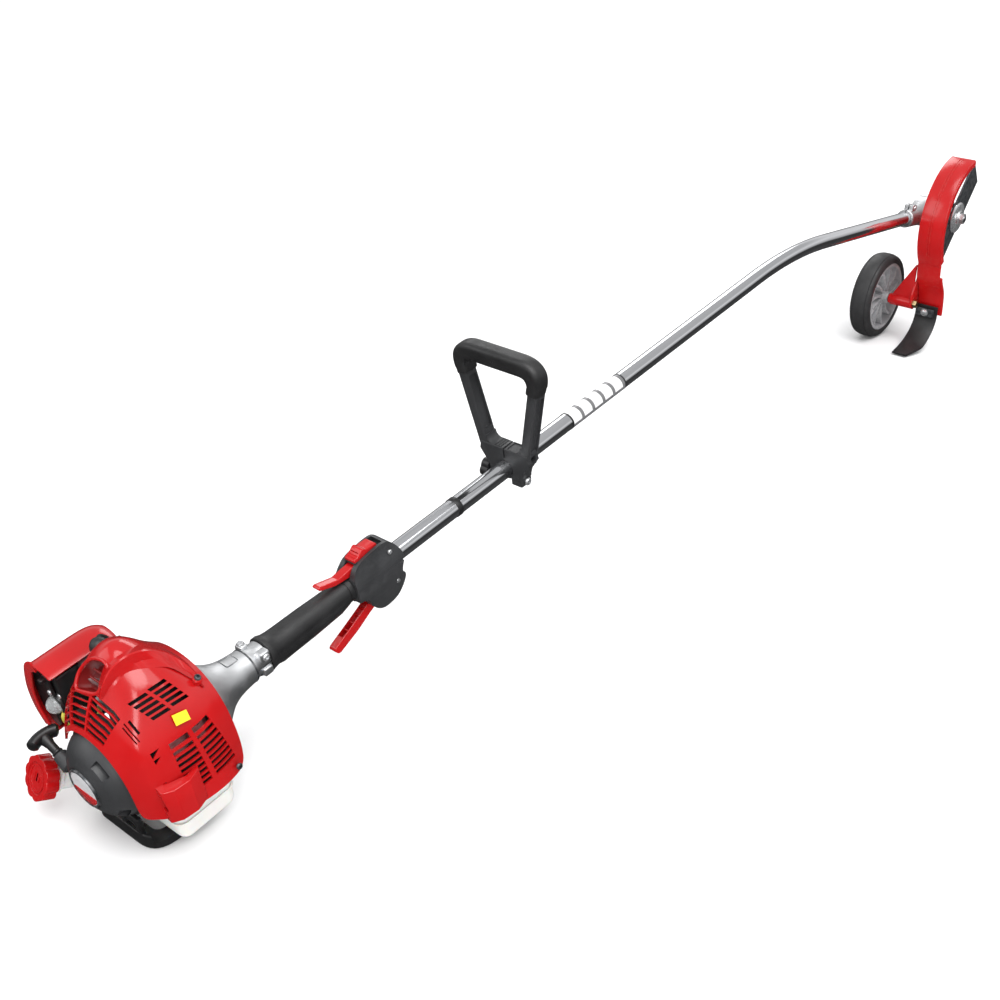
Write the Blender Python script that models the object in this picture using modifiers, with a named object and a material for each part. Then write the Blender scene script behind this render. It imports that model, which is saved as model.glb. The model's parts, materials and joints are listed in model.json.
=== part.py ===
"""Stick edger with a two-stroke engine, a bent drive tube and a wheeled cutting head.

Lengths below are in millimetres and are turned into metres by MM when geometry is made.
World frame: X forward from engine to blade, Y to the operator's left, Z up, floor at Z = 0.
The origin lies on the floor under the rear bar of the engine stand, in the plane of the tube.
The engine, grip and handle are built in a frame whose X axis is the straight part of the tube.
"""
import bpy
import bmesh
from math import sin, cos, pi, radians, atan2, hypot, sqrt
from mathutils import Vector, Matrix

MM = 0.001
GAP = 0.3                     # clearance between neighbouring solids

# ---- driving dimensions -----------------------------------------------------------------
FOOT_X = 168.0                # from the origin forward to the rear clamp of the tube
AXIS_H = 122.3                # height of the tube axis there
TILT = radians(8.14)          # rise of the straight tube
TUBE_R, TUBE_WALL = 11.0, 1.6
BEND_FROM, BEND_RADIUS, BEND = 935.0, 760.0, radians(15.1)
TUBE_END = 1490.0             # x of the tube's front end, from the rear clamp
HEAD = (1519.0, 211.0)        # x, z of the gear case centre
HEAD_TILT = radians(7.0)
BLADE_Y, BLADE_HALF, BLADE_W, BLADE_T = -48.3, 96.0, 46.0, 3.0
BLADE_ANGLE = radians(49.0)
WHEEL_X, WHEEL_R, WHEEL_Y, WHEEL_HALF = 1439.3, 74.0, 36.8, 18.0
DEPTH_PIVOT = (1478.0, 155.0)
GUARD_R, GUARD_T = 103.0, 3.2
CASE_R = 50.0                 # starter case
GRIP_R = 14.0
HOUSING_HALF = 17.0
LOOP_X, LOOP_BAR = 395.0, 6.5
CLAMP_Z = -15.5               # height of the handle clamp's screw below the tube axis
TRIGGER_PIN = (160.0, -29.0)
LOCKOUT_PIN = (141.0, 19.5)
CRANK_X = -138.0              # cylinder axis along the crankshaft
ROPE_UP = radians(25.0)       # the starter rope leaves to the left and this far up
ROPE_X = -207.0

for old in list(bpy.data.objects):
    bpy.data.objects.remove(old, do_unlink=True)


def collection(name):
    c = bpy.data.collections.new(name)
    bpy.context.scene.collection.children.link(c)
    return c


PARTS = collection("lawn_edger")
CUTTERS = collection("cutters")


def material(name, rgb, rough, metal=0.0, alpha=1.0):
    m = bpy.data.materials.new(name)
    m.use_nodes = True
    s = m.node_tree.nodes["Principled BSDF"].inputs
    s["Base Color"].default_value = (*rgb, 1.0)
    s["Roughness"].default_value = rough
    s["Metallic"].default_value = metal
    s["Alpha"].default_value = alpha
    return m


RED = (0.62, 0.015, 0.012)
LOOKS = {
    "red": (RED, 0.28, 0.0), "black": ((0.022, 0.022, 0.024), 0.55, 0.0),
    "grey": ((0.075, 0.078, 0.082), 0.5, 0.0), "rubber": ((0.016, 0.016, 0.017), 0.75, 0.0),
    "cast": ((0.55, 0.56, 0.57), 0.42, 1.0), "chrome": ((0.75, 0.75, 0.76), 0.12, 1.0),
    "steel": ((0.42, 0.42, 0.44), 0.35, 1.0), "dark": ((0.06, 0.065, 0.07), 0.45, 0.6),
    "zinc": ((0.68, 0.68, 0.66), 0.25, 1.0), "brass": ((0.62, 0.48, 0.24), 0.35, 1.0),
    "white": ((0.82, 0.82, 0.78), 0.35, 0.0), "clear": ((0.8, 0.85, 0.85), 0.1, 0.0),
    "yellow": ((0.75, 0.7, 0.12), 0.4, 0.0), "hub": ((0.45, 0.45, 0.46), 0.5, 0.0),
    "foam": ((0.05, 0.05, 0.05), 0.9, 0.0), "tag": ((0.85, 0.85, 0.86), 0.35, 0.0),
}

ROOT = bpy.data.objects.new("edger_root", None)
ROOT.location = (FOOT_X * MM, 0, 0)
PARTS.objects.link(ROOT)


def frame(name, at, turn=0.0, parent=ROOT):
    e = bpy.data.objects.new(name, None)
    e.location = Vector(at) * MM
    e.rotation_euler = (0, turn, 0)
    e.parent = parent
    PARTS.objects.link(e)
    return e


ENGINE = frame("engine_frame", (0, 0, AXIS_H), -TILT)
HEADF = frame("head_frame", (HEAD[0], 0, HEAD[1]), HEAD_TILT)
GROUND = ROOT


# ---- tools --------------------------------------------------------------------------------
def add(name, mesh, look, parent, at=(0, 0, 0), rot=None, cutter=False):
    o = bpy.data.objects.new(name, mesh)
    (CUTTERS if cutter else PARTS).objects.link(o)
    o.parent = parent
    o.location = Vector(at) * MM
    if rot is not None:
        o.rotation_mode = 'QUATERNION'
        o.rotation_quaternion = rot
    if cutter:
        o.hide_render = True
        o.display_type = 'WIRE'
    else:
        mesh.materials.clear()
        mesh.materials.append(material(name, *LOOKS[look]))
    return o


def finish(bm, name):
    bmesh.ops.recalc_face_normals(bm, faces=bm.faces)
    me = bpy.data.meshes.new(name)
    bm.to_mesh(me)
    bm.free()
    me.shade_smooth()
    me.set_sharp_from_angle(angle=radians(35))
    return me


def along(axis):
    """Turn that takes local Z to the given direction."""
    return Vector(axis).normalized().to_track_quat('Z', 'Y')


def modifier(o, kind, **values):
    m = o.modifiers.new(kind.lower(), kind)
    for k, v in values.items():
        setattr(m, k, v)
    return m


def bevel(o, width, segments=2, angle=35):
    modifier(o, 'BEVEL', width=width * MM, segments=segments, limit_method='ANGLE',
             angle_limit=radians(angle))
    return o


def block(name, lo, hi, look="black", parent=ENGINE, soft=0.0, seg=2, cutter=False, turn=None):
    lo, hi = Vector(lo), Vector(hi)
    bm = bmesh.new()
    bmesh.ops.create_cube(bm, size=1.0)
    bmesh.ops.scale(bm, vec=(hi - lo) * MM, verts=bm.verts)
    o = add(name, finish(bm, name), look, parent, (lo + hi) / 2, turn, cutter)
    return bevel(o, soft, seg) if soft else o


def rod(name, a, b, r, look="steel", parent=ENGINE, r2=None, sides=16, cutter=False):
    a, b = Vector(a), Vector(b)
    bm = bmesh.new()
    bmesh.ops.create_cone(bm, cap_ends=True, segments=sides, radius1=r * MM,
                          radius2=(r if r2 is None else r2) * MM, depth=(b - a).length * MM)
    return add(name, finish(bm, name), look, parent, (a + b) / 2, along(b - a), cutter)


def turned(name, profile, at=(0, 0, 0), axis=(1, 0, 0), look="steel", parent=ENGINE, steps=18,
           loop=True, cutter=False):
    """profile: (distance along the axis, radius) points; a loop, or a line that ends on the axis."""
    pts = list(profile)
    area = sum(a[1] * b[0] - b[1] * a[0] for a, b in zip(pts, pts[1:] + pts[:1]))
    if area > 0:
        pts.reverse()
    bm = bmesh.new()
    vs = [bm.verts.new((r * MM, 0, h * MM)) for h, r in pts]
    for a, b in zip(vs, vs[1:] + (vs[:1] if loop else [])):
        bm.edges.new((a, b))
    me = bpy.data.meshes.new(name)
    bm.to_mesh(me)
    bm.free()
    o = add(name, me, look, parent, at, along(axis), cutter)
    modifier(o, 'SCREW', axis='Z', steps=steps, render_steps=steps, use_smooth_shade=True,
             use_merge_vertices=True, merge_threshold=0.00001)
    return o


def as_mesh(curve_object, weld=True):
    """Replace a curve object by the mesh it evaluates to, with its caps welded."""
    dep = bpy.context.evaluated_depsgraph_get()
    me = bpy.data.meshes.new_from_object(curve_object.evaluated_get(dep))
    bm = bmesh.new()
    bm.from_mesh(me)
    if weld:
        bmesh.ops.remove_doubles(bm, verts=bm.verts, dist=0.00001)
    bmesh.ops.recalc_face_normals(bm, faces=bm.faces)
    bm.to_mesh(me)
    bm.free()
    me.shade_smooth()
    me.set_sharp_from_angle(angle=radians(35))
    bpy.data.objects.remove(curve_object, do_unlink=True)
    return me


def curve_object(name, splines, flat, cyclic):
    cu = bpy.data.curves.new(name, 'CURVE')
    cu.dimensions = '2D' if flat else '3D'
    for pts in splines:
        sp = cu.splines.new('POLY')
        sp.points.add(len(pts) - 1)
        for p, q in zip(sp.points, pts):
            p.co = (*(Vector(q).to_3d() * MM), 1)
        sp.use_cyclic_u = cyclic
    o = bpy.data.objects.new(name, cu)
    PARTS.objects.link(o)
    return cu, o


def plate(name, outline, low, high, look="black", plane="XZ", parent=ENGINE, holes=(),
          at=(0, 0, 0), cutter=False, soft=0.0):
    """A flat outline given in the plane, thick from low to high along the plane's normal."""
    cu, o = curve_object(name, [outline, *holes], True, True)
    cu.fill_mode = 'BOTH'
    cu.extrude = (high - low) / 2 * MM
    bpy.context.view_layer.update()
    me = as_mesh(o)
    mid = (low + high) / 2
    if plane == "XZ":        # drawn x, z; normal along -Y
        turn, shift = Matrix(((1, 0, 0), (0, 0, -1), (0, 1, 0))), Vector((0, mid, 0))
    elif plane == "YZ":      # drawn y, z; normal along +X
        turn, shift = Matrix(((0, 0, 1), (1, 0, 0), (0, 1, 0))), Vector((mid, 0, 0))
    else:                    # drawn x, y; normal along +Z
        turn, shift = Matrix.Identity(3), Vector((0, 0, mid))
    o = add(name, me, look, parent, Vector(at) + shift, turn.to_quaternion(), cutter)
    return bevel(o, soft, 1) if soft else o


def tube(name, path, r, look="rubber", parent=ENGINE, res=2, caps=True, cutter=False):
    cu, o = curve_object(name, [path], False, False)
    cu.bevel_depth = r * MM
    cu.bevel_resolution = res
    cu.use_fill_caps = caps
    bpy.context.view_layer.update()
    return add(name, as_mesh(o, weld=caps), look, parent, cutter=cutter)


def cut(o, *tools, how='DIFFERENCE'):
    for t in tools:
        modifier(o, 'BOOLEAN', operation=how, object=t, solver='EXACT')
    return o


def join(o, *tools):
    return cut(o, *tools, how='UNION')


def grid(name, rows, look, parent, wrap=False, cutter=False):
    """An open or wrapped surface through rows of points."""
    bm = bmesh.new()
    vs = [[bm.verts.new(Vector(p) * MM) for p in row] for row in rows]
    for r0, r1 in zip(vs, vs[1:]):
        n = len(r0)
        for i in range(n if wrap else n - 1):
            j = (i + 1) % n
            bm.faces.new((r0[i], r0[j], r1[j], r1[i]))
    me = bpy.data.meshes.new(name)
    bm.to_mesh(me)
    bm.free()
    me.shade_smooth()
    return add(name, me, look, parent, cutter=cutter)


def many_blocks(name, boxes, parent=ENGINE):
    """One cutter made of several boxes, each (centre, size, turn or None)."""
    bm = bmesh.new()
    for centre, size, turn in boxes:
        m = Matrix.Translation(Vector(centre) * MM)
        if turn is not None:
            m = m @ turn.to_4x4()
        bmesh.ops.create_cube(bm, size=1.0, matrix=m @ Matrix.Diagonal((*(Vector(size) * MM), 1)))
    return add(name, finish(bm, name), None, parent, cutter=True)


def ring_points(r, n, start=0.0, sweep=2 * pi, at=(0, 0)):
    k = n if abs(sweep - 2 * pi) < 1e-6 else n - 1
    return [(at[0] + r * cos(start + sweep * i / k), at[1] + r * sin(start + sweep * i / k))
            for i in range(n)]


def teeth(r_out, r_root, n, at=(0, 0)):
    """A toothed or lobed outline: four points a tooth."""
    pts = []
    for i in range(n):
        for f, r in ((0.0, r_root), (0.3, r_root), (0.45, r_out), (0.85, r_out)):
            a = 2 * pi * (i + f) / n
            pts.append((at[0] + r * cos(a), at[1] + r * sin(a)))
    return pts


def slab(points, radius, n=5):
    """Round the corners of a polyline or polygon given as (x, y[, radius]) points."""
    out = []
    m = len(points)
    for i, p in enumerate(points):
        r = p[2] if len(p) > 2 else radius
        a, b, c = Vector(points[i - 1][:2]), Vector(p[:2]), Vector(points[(i + 1) % m][:2])
        u, v = (a - b).normalized(), (c - b).normalized()
        half = u.angle(v) / 2
        if r <= 0 or half > 1.55:
            out.append(tuple(b))
            continue
        reach = min(r / max(0.05, abs(sin(half) / cos(half))), (a - b).length * .48,
                    (c - b).length * .48)
        p0, p1 = b + u * reach, b + v * reach
        for k in range(n):
            t = k / (n - 1)
            out.append(tuple(p0.lerp(b, t).lerp(b.lerp(p1, t), t)))
    return out


def ribbon(path, half):
    """Closed outline of a strip of constant width along an open path."""
    left, right = [], []
    for i, p in enumerate(path):
        a, b = Vector(path[max(i - 1, 0)]), Vector(path[min(i + 1, len(path) - 1)])
        d = (b - a).normalized()
        n = Vector((-d.y, d.x))
        left.append(tuple(Vector(p) + n * half))
        right.append(tuple(Vector(p) - n * half))
    return left + right[::-1]


# ---- drive tube and what runs in it ---------------------------------------------------------
def tube_path(start, end):
    """Centre line in the ground frame: straight, a wide bend, straight again."""
    e = Vector((cos(TILT), 0, sin(TILT)))
    base = Vector((0, 0, AXIS_H))
    s_bend = BEND_FROM / cos(TILT)
    pts = [base + e * start, base + e * s_bend]
    for i in range(1, 11):
        a = TILT - BEND * i / 10
        c = TILT - BEND * (i - 0.5) / 10
        pts.append(pts[-1] + Vector((cos(c), 0, sin(c))) * (BEND_RADIUS * BEND / 10))
    last = Vector((cos(a), 0, sin(a)))
    pts.append(pts[-1] + last * ((end - pts[-1].x) / last.x))
    return pts


def drive_tube():
    t = tube("shaft_tube", tube_path(-36, TUBE_END), TUBE_R, "chrome", GROUND, res=4, caps=False)
    modifier(t, 'SOLIDIFY', thickness=TUBE_WALL * MM, offset=-1.0)
    s = tube("shaft_liner", tube_path(-30, TUBE_END - 12), 5.6, "black", GROUND, res=2, caps=False)
    modifier(s, 'SOLIDIFY', thickness=1.5 * MM, offset=-1.0)
    tube("drive_shaft", tube_path(-43, TUBE_END + 4), 3.2, "steel", GROUND, res=1)


# ---- engine ------------------------------------------------------------------------------------
def crank_group():
    x = CRANK_X
    turned("crankshaft", [(-185.5, 0), (-185.5, 14), (-180, 14), (-180, 6), (x - 9.5, 6),
                          (x - 9.5, 26), (x - 4, 26), (x - 4, 4), (x + 4, 4), (x + 4, 26),
                          (x + 9.5, 26), (x + 9.5, 6), (-65, 6), (-65, 0)], loop=False)
    shank = [(-6, 14), (-4, 54), (4, 54), (6, 14)]
    rod_ = plate("connecting_rod", ring_points(9, 18, at=(0, 14)), x - 3.7, x + 3.7, "steel", "YZ")
    join(rod_, plate("rod_shank", shank, x - 2.5, x + 2.5, plane="YZ", cutter=True),
         rod("rod_eye", (x - 3.7, 0, 56), (x + 3.7, 0, 56), 7.5, cutter=True))
    cut(rod_, rod("rod_bore", (x - 9, 0, 56), (x + 9, 0, 56), 4.3, cutter=True))
    piston = turned("piston", [(72, 0), (72, 16.5), (45, 16.5), (45, 13.5), (68, 13.5), (68, 0)],
                    (x, 0, 0), (0, 0, 1), "cast", loop=False)
    join(piston, rod("wrist_pin", (x - 15.5, 0, 56), (x + 15.5, 0, 56), 4.0, sides=16,
                     cutter=True))


def crankcase():
    x = CRANK_X
    case = turned("crankcase", [(x - 32, 6.4), (x - 32, 30), (x - 26, 37), (x + 26, 37),
                                (x + 33, 32), (x + 33, 6.4), (x + 12, 6.4), (x + 12, 28),
                                (x - 12, 28), (x - 12, 6.4)], look="cast", steps=20)
    join(case, block("case_deck", (x - 24, -24, 22), (x + 24, 24, 38), cutter=True),
         block("case_feet", (x - 22, -34, -36.5), (x + 22, 34, -24), cutter=True))
    cut(case, rod("case_bore", (x, 0, 5), (x, 0, 60), 17.2, cutter=True),
        rod("case_clear", (x - 11.6, 0, 0), (x + 11.6, 0, 0), 27.6, sides=32, cutter=True))


def cylinder():
    x = CRANK_X
    c = rod("cylinder", (x, 0, 38.3), (x, 0, 86), 21.5, "cast", sides=20)
    fins = [((x, 0, 47 + 8.6 * i), (58, 58, 2.6), None) for i in range(5)]
    join(c, many_blocks("fins", fins),
         block("cylinder_foot", (x - 22, -22, 38.5), (x + 22, 22, 42), cutter=True),
         block("intake_side", (x - 13, 15, 47), (x + 13, 32, 69), cutter=True),
         block("exhaust_side", (x - 14, -32, 38.8), (x + 14, -15, 58.5), cutter=True))
    cut(c, rod("bore", (x, 0, 30), (x, 0, 76), 17, cutter=True, sides=20),
        rod("plug_hole", (x, 0, 70), (x, 0, 99), 5.5, cutter=True, sides=16),
        rod("intake_port", (x, 14, 58), (x, 40, 58), 6, cutter=True, sides=16),
        rod("exhaust_port", (x, -14, 48), (x, -40, 48), 7, cutter=True, sides=16))
    turned("spark_plug", [(77, 0), (77, 5), (86.4, 5), (86.4, 8.5), (91, 8.5), (91, 4.5),
                          (93, 4.5), (93, 0)], (x, 0, 0), (0, 0, 1), "zinc", steps=6 * 2,
           loop=False)
    boot = tube("spark_plug_boot", [(x, 0, 93.4), (x, 0, 95.5), (x, 5, 98), (x, 22, 98),
                                    (x, 38, 98)], 6.2, "rubber", res=2)
    modifier(boot, 'WELD', merge_threshold=0.00001)
    knob = turned("boot_head", [(0, 0), (0, 8), (6, 9.5), (12, 8.6), (16, 5.5), (18, 0)],
                  (x, 34, 98), (-0.1, 0.72, 0.5), loop=False, steps=16, cutter=True)
    lead = tube("ignition_lead", [(-113.5, 52, 14.5), (-113.5, 52, 20), (-114, 56, 44),
                                  (-117, 58, 66), (-122, 59, 82), (-130, 55, 93),
                                  (-138, 42, 101)], 2.4, res=2, cutter=True)
    join(boot, knob, lead)


def ignition():
    coil = block("ignition_coil", (-122, 42, -14), (-105, 60, 14), "black", soft=1.5, seg=1)
    join(coil, block("coil_core", (-118, 39, -20), (-109, 48, 20), cutter=True))


def intake():
    x = CRANK_X
    ins = block("intake_insulator", (x - 13, 32.3, 46), (x + 13, 42, 70), "black", soft=1, seg=1)
    cut(ins, rod("ins_bore", (x, 30, 58), (x, 45, 58), 6, cutter=True, sides=16))
    carb = block("carburettor", (x - 17, 42.3, 42), (x + 10, 68, 73), "cast", soft=2, seg=1)
    join(carb, rod("carb_bowl", (x - 4, 55, 36), (x - 4, 55, 44), 10, cutter=True, sides=16),
         rod("carb_boss", (x - 24, 55, 58), (x - 10, 55, 58), 5, cutter=True, sides=16))
    cut(carb, rod("carb_bore", (x, 40, 58), (x, 70, 58), 6.5, cutter=True, sides=16))
    arm = plate("throttle_arm", slab([(-6, -4), (4, -4), (14, -3), (14, 3), (4, 4), (-6, 4)], 3, 4),
                75.0, 77.0, "zinc", "XY", at=(x - 2, 52, 0))
    join(arm, rod("arm_post", (x - 2, 52, 73.4), (x - 2, 52, 80), 3, cutter=True, sides=12))


def air_cleaner():
    base = block("air_cleaner_base", (-180, 68.3, -4), (-112, 94, 69), "black", soft=3, seg=1)
    cut(base, block("base_hollow", (-177, 72, 12), (-115, 99, 66), cutter=True),
        rod("base_inlet", (CRANK_X, 60, 58), (CRANK_X, 75, 58), 6.5, cutter=True, sides=16),
        rod("primer_well", (-190, 80, 34), (-174, 80, 34), 9.9, cutter=True),
        block("base_relief", (-190, 80, -9), (-150, 100, 9), cutter=True))
    block("air_filter", (-176, 76, 13), (-116, 96, 65), "foam", soft=3, seg=1)
    side = [(62, 77.5), (70, 82), (89, 84), (103, 77), (113, 60), (121, 36), (121, 12), (112, -8),
            (99, -13)]
    end = [(66, 68), (72, 73), (88, 76), (99, 69), (107, 56), (113, 36), (113, 14), (107, -2),
           (99, -5)]
    rows = [[(-187, y, z) for y, z in side], [(-186, y, z) for y, z in side],
            [(-150, y, z) for y, z in side], [(-118, y, z) for y, z in side],
            [(-108, y, z) for y, z in end]]
    cover = grid("air_cleaner_cover", rows, "red", ENGINE)
    modifier(cover, 'SUBSURF', levels=1, render_levels=1)
    modifier(cover, 'SOLIDIFY', thickness=2.4 * MM, offset=-1.0)
    turned("primer_bulb", [(0, 0), (0, 9), (4, 9.4), (8, 7.8), (11, 4.4), (12.2, 0)],
                  (-180.3, 80, 34), (-1, 0, 0), "clear", loop=False, steps=20)
    lever = plate("choke_lever", slab([(-5, -5), (5, -5), (5, 16), (3, 22), (-3, 22), (-5, 16)],
                                      3, 4), -184.2, -181.2, "black", "YZ", at=(0, 80, 50))
    join(lever, block("choke_tab", (-190, 77, 65), (-182, 83, 70), cutter=True))


def fuel():
    neck_dir = Vector((-0.86, 0.12, 0.5)).normalized()
    cap_at = Vector((-216, 88, -42))
    tank = block("fuel_tank", (-169.5, -56, -88), (-102, 96, -38), "white", soft=11, seg=2)
    neck_root = cap_at - neck_dir * 62
    join(tank, rod("neck", neck_root, cap_at - neck_dir * 3, 14, cutter=True))
    hollow = block("tank_inside", (-167, -53.5, -85.5), (-104.5, 93.5, -40.5), soft=9, seg=1,
                   cutter=True)
    cut(tank, hollow, rod("neck_inside", neck_root + neck_dir * 6, cap_at + neck_dir * 5, 11.5,
                          cutter=True))
    cap = plate("fuel_cap", teeth(23, 21, 10), 0, 13.5, "red", "XY")
    cap.location = cap_at * MM + neck_dir * (3.6 * MM)
    cap.rotation_quaternion = along(neck_dir)
    cut(cap, rod("cap_inside", cap_at - neck_dir * 10, cap_at + neck_dir * 7, 14.4, cutter=True))
    tube("fuel_line", [(-158, 60, -37.6), (-158, 60, -20), (-156, 60, 4), (-152, 58, 20),
                       (-144, 55, 28), (-142, 55, 32.5), (-142, 55, 35.5)], 2.3, "yellow", res=2)


def muffler():
    x = CRANK_X
    m = block("muffler", (-166, -64, -8), (-112, -40, 54), "steel", soft=7, seg=2)
    join(m, block("muffler_flange", (x - 14, -42, 38), (x + 14, -32.4, 58.5), cutter=True))
    cut(m, block("muffler_inside", (-164, -62, -6), (-114, -42.5, 52), soft=6, seg=1,
                 cutter=True),
        rod("muffler_in", (x, -30, 48), (x, -46, 48), 7, cutter=True, sides=16),
        rod("muffler_out", (-158, -56, 4), (-172, -68, -8), 5, cutter=True, sides=12))


def fan_housing():
    h = turned("fan_housing", [(-101, 54), (-101, 63), (-94, 63), (-90.5, 60.5), (-86, 53),
                               (-82, 45.5), (-75, 38.5), (-67, 32), (-59, 26.6), (-51, 23),
                               (-42, 20.9), (-32, 19.6), (-21.5, 18.8), (-21.5, 11.4),
                               (-36.6, 11.4), (-37.5, 5.6), (-57.5, 5.6), (-57.5, 14),
                               (-62.2, 26.2), (-81, 26.2), (-83.5, 28), (-86, 49), (-87.5, 52)],
               look="cast", steps=20)
    c = turned("shaft_clamp", [(-21.2, 11.4), (-21.2, 16.4), (-1.5, 16.4), (-1.5, 11.4)],
               look="cast")
    lugs = many_blocks("clamp_lugs", [((-8, -13.5, 10.5), (12, 9, 12), None),
                                      ((-15.5, 9.5, 15.5), (10, 11, 8), None)])
    join(c, lugs)
    cut(c, block("clamp_split", (-30, -30, -0.8), (5, -6, 0.8), cutter=True),
        rod("clamp_bore", (-40, 0, 0), (10, 0, 0), 11.4, sides=20, cutter=True))
    join(c, rod("bolt_head_a", (-8, -20.5, 11), (-8, -17, 11), 4.2, sides=12, cutter=True),
         rod("bolt_head_b", (-15.5, 10, 18), (-15.5, 10, 22.5), 4.2, sides=12, cutter=True))
    f = turned("flywheel", [(-91, 5), (-91, 46), (-87, 46), (-84.5, 18), (-84.5, 5)],
               look="cast", steps=20)
    fan = plate("fan_blades", teeth(45, 24, 12), -99.5, -90, plane="YZ", cutter=True)
    join(f, fan)
    cut(f, rod("fan_hub_clear", (-105, 0, 0), (-80, 0, 0), 6.4, cutter=True))
    shoes = turned("clutch_shoes", [(-79, 6.4), (-79, 22), (-67, 22), (-67, 6.4)], look="dark")
    cut(shoes, many_blocks("shoe_gaps", [((-73, 0, 20), (20, 3, 16), None),
                                         ((-73, 0, -20), (20, 3, 16), None)]))
    turned("clutch_drum", [(-44, 0), (-44, 5.2), (-58.3, 5.2), (-60.5, 12), (-63.2, 24.6),
                           (-79.5, 24.6), (-79.5, 23), (-64.8, 23), (-64.8, 0)], look="steel",
           loop=False)


def starter():
    s = turned("starter_case", [(-186, 0), (-186, 4.5), (-214, 4.5), (-214, 22),
                                (-206, CASE_R - 14.5), (-196, CASE_R - 7), (-185, CASE_R - 3),
                                (-172, CASE_R - 2.5), (-172, CASE_R), (-186, CASE_R - 0.5),
                                (-198, CASE_R - 4), (-208, CASE_R - 11), (-215, CASE_R - 21),
                                (-217.5, 24), (-217.5, 0)], look="grey", steps=24, loop=False)
    feet = [((-176, 0, -54), (7, 30, 12), None), ((-176, 44, 33), (7, 14, 12), None),
            ((-176, -44, 33), (7, 14, 12), None)]
    up = Vector((0, cos(ROPE_UP), sin(ROPE_UP)))
    rope_line = Vector((ROPE_X, 27, -12))
    join(s, many_blocks("case_lugs", feet),
         rod("rope_guide", rope_line + up * 14, rope_line + up * 32, 8.5, r2=7, sides=16,
             cutter=True))
    cut(s, rod("rope_hole", rope_line - up * 4, rope_line + up * 50, 3.4, sides=12, cutter=True))
    g0 = rope_line + up * 24
    turned("starter_reel", [(-198.5, 5), (-198.5, 30), (-196.5, 30), (-195.5, 25), (-191.5, 25),
                            (-190.5, 30), (-188.5, 30), (-188.5, 5)], look="black")
    coil = []
    for i in range(33):
        a = 2 * pi * i / 11
        coil.append(((8 + 5 * i / 11) * cos(a), (8 + 5 * i / 11) * sin(a)))
    plate("recoil_spring", ribbon(coil, 0.5), -206, -200, "steel", "YZ")
    top = g0 + up * 8.3
    grip = tube("starter_handle", [top, top + up * 12, top + up * 23], 4.8, "black", res=3)
    modifier(grip, 'WELD', merge_threshold=0.00001)
    c = top + up * 26
    bar = [(-17, -5), (-12, -8), (12, -8), (17, -5), (18, 2), (12, 5), (-12, 5), (-18, 2)]
    bar_o = plate("handle_bar", slab(bar, 2, 3), -8, 8, plane="XZ", cutter=True)
    bar_o.location = c * MM
    bar_o.rotation_quaternion = Matrix.Rotation(ROPE_UP, 3, 'X').to_quaternion()
    bevel(bar_o, 2, 1)
    join(grip, bar_o)
    tube("starter_rope", [rope_line, rope_line + up * 15, rope_line + up * 31.9], 1.7, "white",
         res=2)


COVER = [
    (-90, [(58, 44), (47, 60), (26, 72), (0, 76), (-28, 72), (-52, 56), (-68, 20), (-70, -33)]),
    (-108, [(50, 66), (42, 76), (24, 88), (0, 93), (-30, 86), (-58, 66), (-76, 22), (-77, -33)]),
    (-126, [(28, 106), (22, 110), (13, 113.5), (1, 116), (-30, 102), (-60, 73), (-80, 24),
            (-81, -32)]),
    (-144, [(27, 113), (21, 118), (12, 122), (3, 125), (-28, 109), (-58, 75), (-80, 24),
            (-82, -30)]),
    (-162, [(30, 102), (24, 107), (15, 111), (4, 115), (-27, 100), (-56, 69), (-77, 20),
            (-80, -28)]),
    (-178, [(62, 44), (52, 66), (30, 84), (3, 92), (-26, 84), (-54, 60), (-73, 14), (-76, -26)]),
    (-186, [(63, 26), (52, 54), (30, 74), (2, 81), (-26, 74), (-52, 54), (-69, 11), (-71, -25)]),
    (-194, [(57, 19), (47, 43), (27, 60), (2, 66), (-24, 60), (-46, 42), (-59, 8), (-61, -25)]),
    (-200, [(49, 15), (40.5, 34), (24, 47), (2, 52), (-20, 48), (-38.5, 34), (-51, 5),
            (-51, -25)]),
]


def engine_cover():
    rows = [[(x, y, z) for y, z in ring] for x, ring in COVER]
    c = grid("engine_cover", rows, "red", ENGINE)
    modifier(c, 'SUBSURF', levels=1, render_levels=1)
    modifier(c, 'SOLIDIFY', thickness=2.4 * MM, offset=-1.0)
    side = [((-148 + 30 * j, -80, -10 + 12 * i), (22, 30, 6), None)
            for i in range(4) for j in range(2)]
    top = [((-148, -24 - 13 * i, 92), (24, 6, 60), None) for i in range(3)]
    rear = [((-190, 12 + 18 * j, 58 + 9 * i - 4 * j), (24, 12, 5.5), None)
            for i in range(2) for j in range(2)]
    cut(c, many_blocks("cover_slots", side + top + rear))
    pts = [(-186, -58), (-186, -82), (-160, -88), (-140, -79), (-140, -76), (-158, -80),
           (-176, -76), (-176, -58)]
    join(c, plate("outlet_guard", pts, -27, 12, plane="XY", cutter=True))


def stand():
    bar = slab([(-178, -34), (-178, 58), (-150, 58), (-96, 40), (-92, -34)], 9, 4)
    hole = slab([(-160, -18), (-106, -18), (-108, 28), (-160, 40)], 6, 4)
    s = plate("tank_stand", bar, 0, 30, "black", "XY", GROUND, holes=[hole])
    keep = block("stand_room", (-186, -70, -88.3), (-80, 110, 0), parent=ENGINE, cutter=True)
    cut(s, keep)
    arm = block("stand_arm", (-190.5, -16, -94), (-184.6, 16, -61), parent=ENGINE, cutter=True)
    join(s, arm)


def cable():
    tube("throttle_cable", [(126, 6, -17.5), (112, 4, -18.2), (60, 2, -19), (16, 0, -24),
                            (2, 0, -26), (-16, 12, -27), (-44, 32, -22), (-76, 58, 0),
                            (-92, 66, 30), (-104, 66, 60), (-110, 60, 74), (-116, 53, 76.5)],
         2.2, "rubber", res=2)


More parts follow.
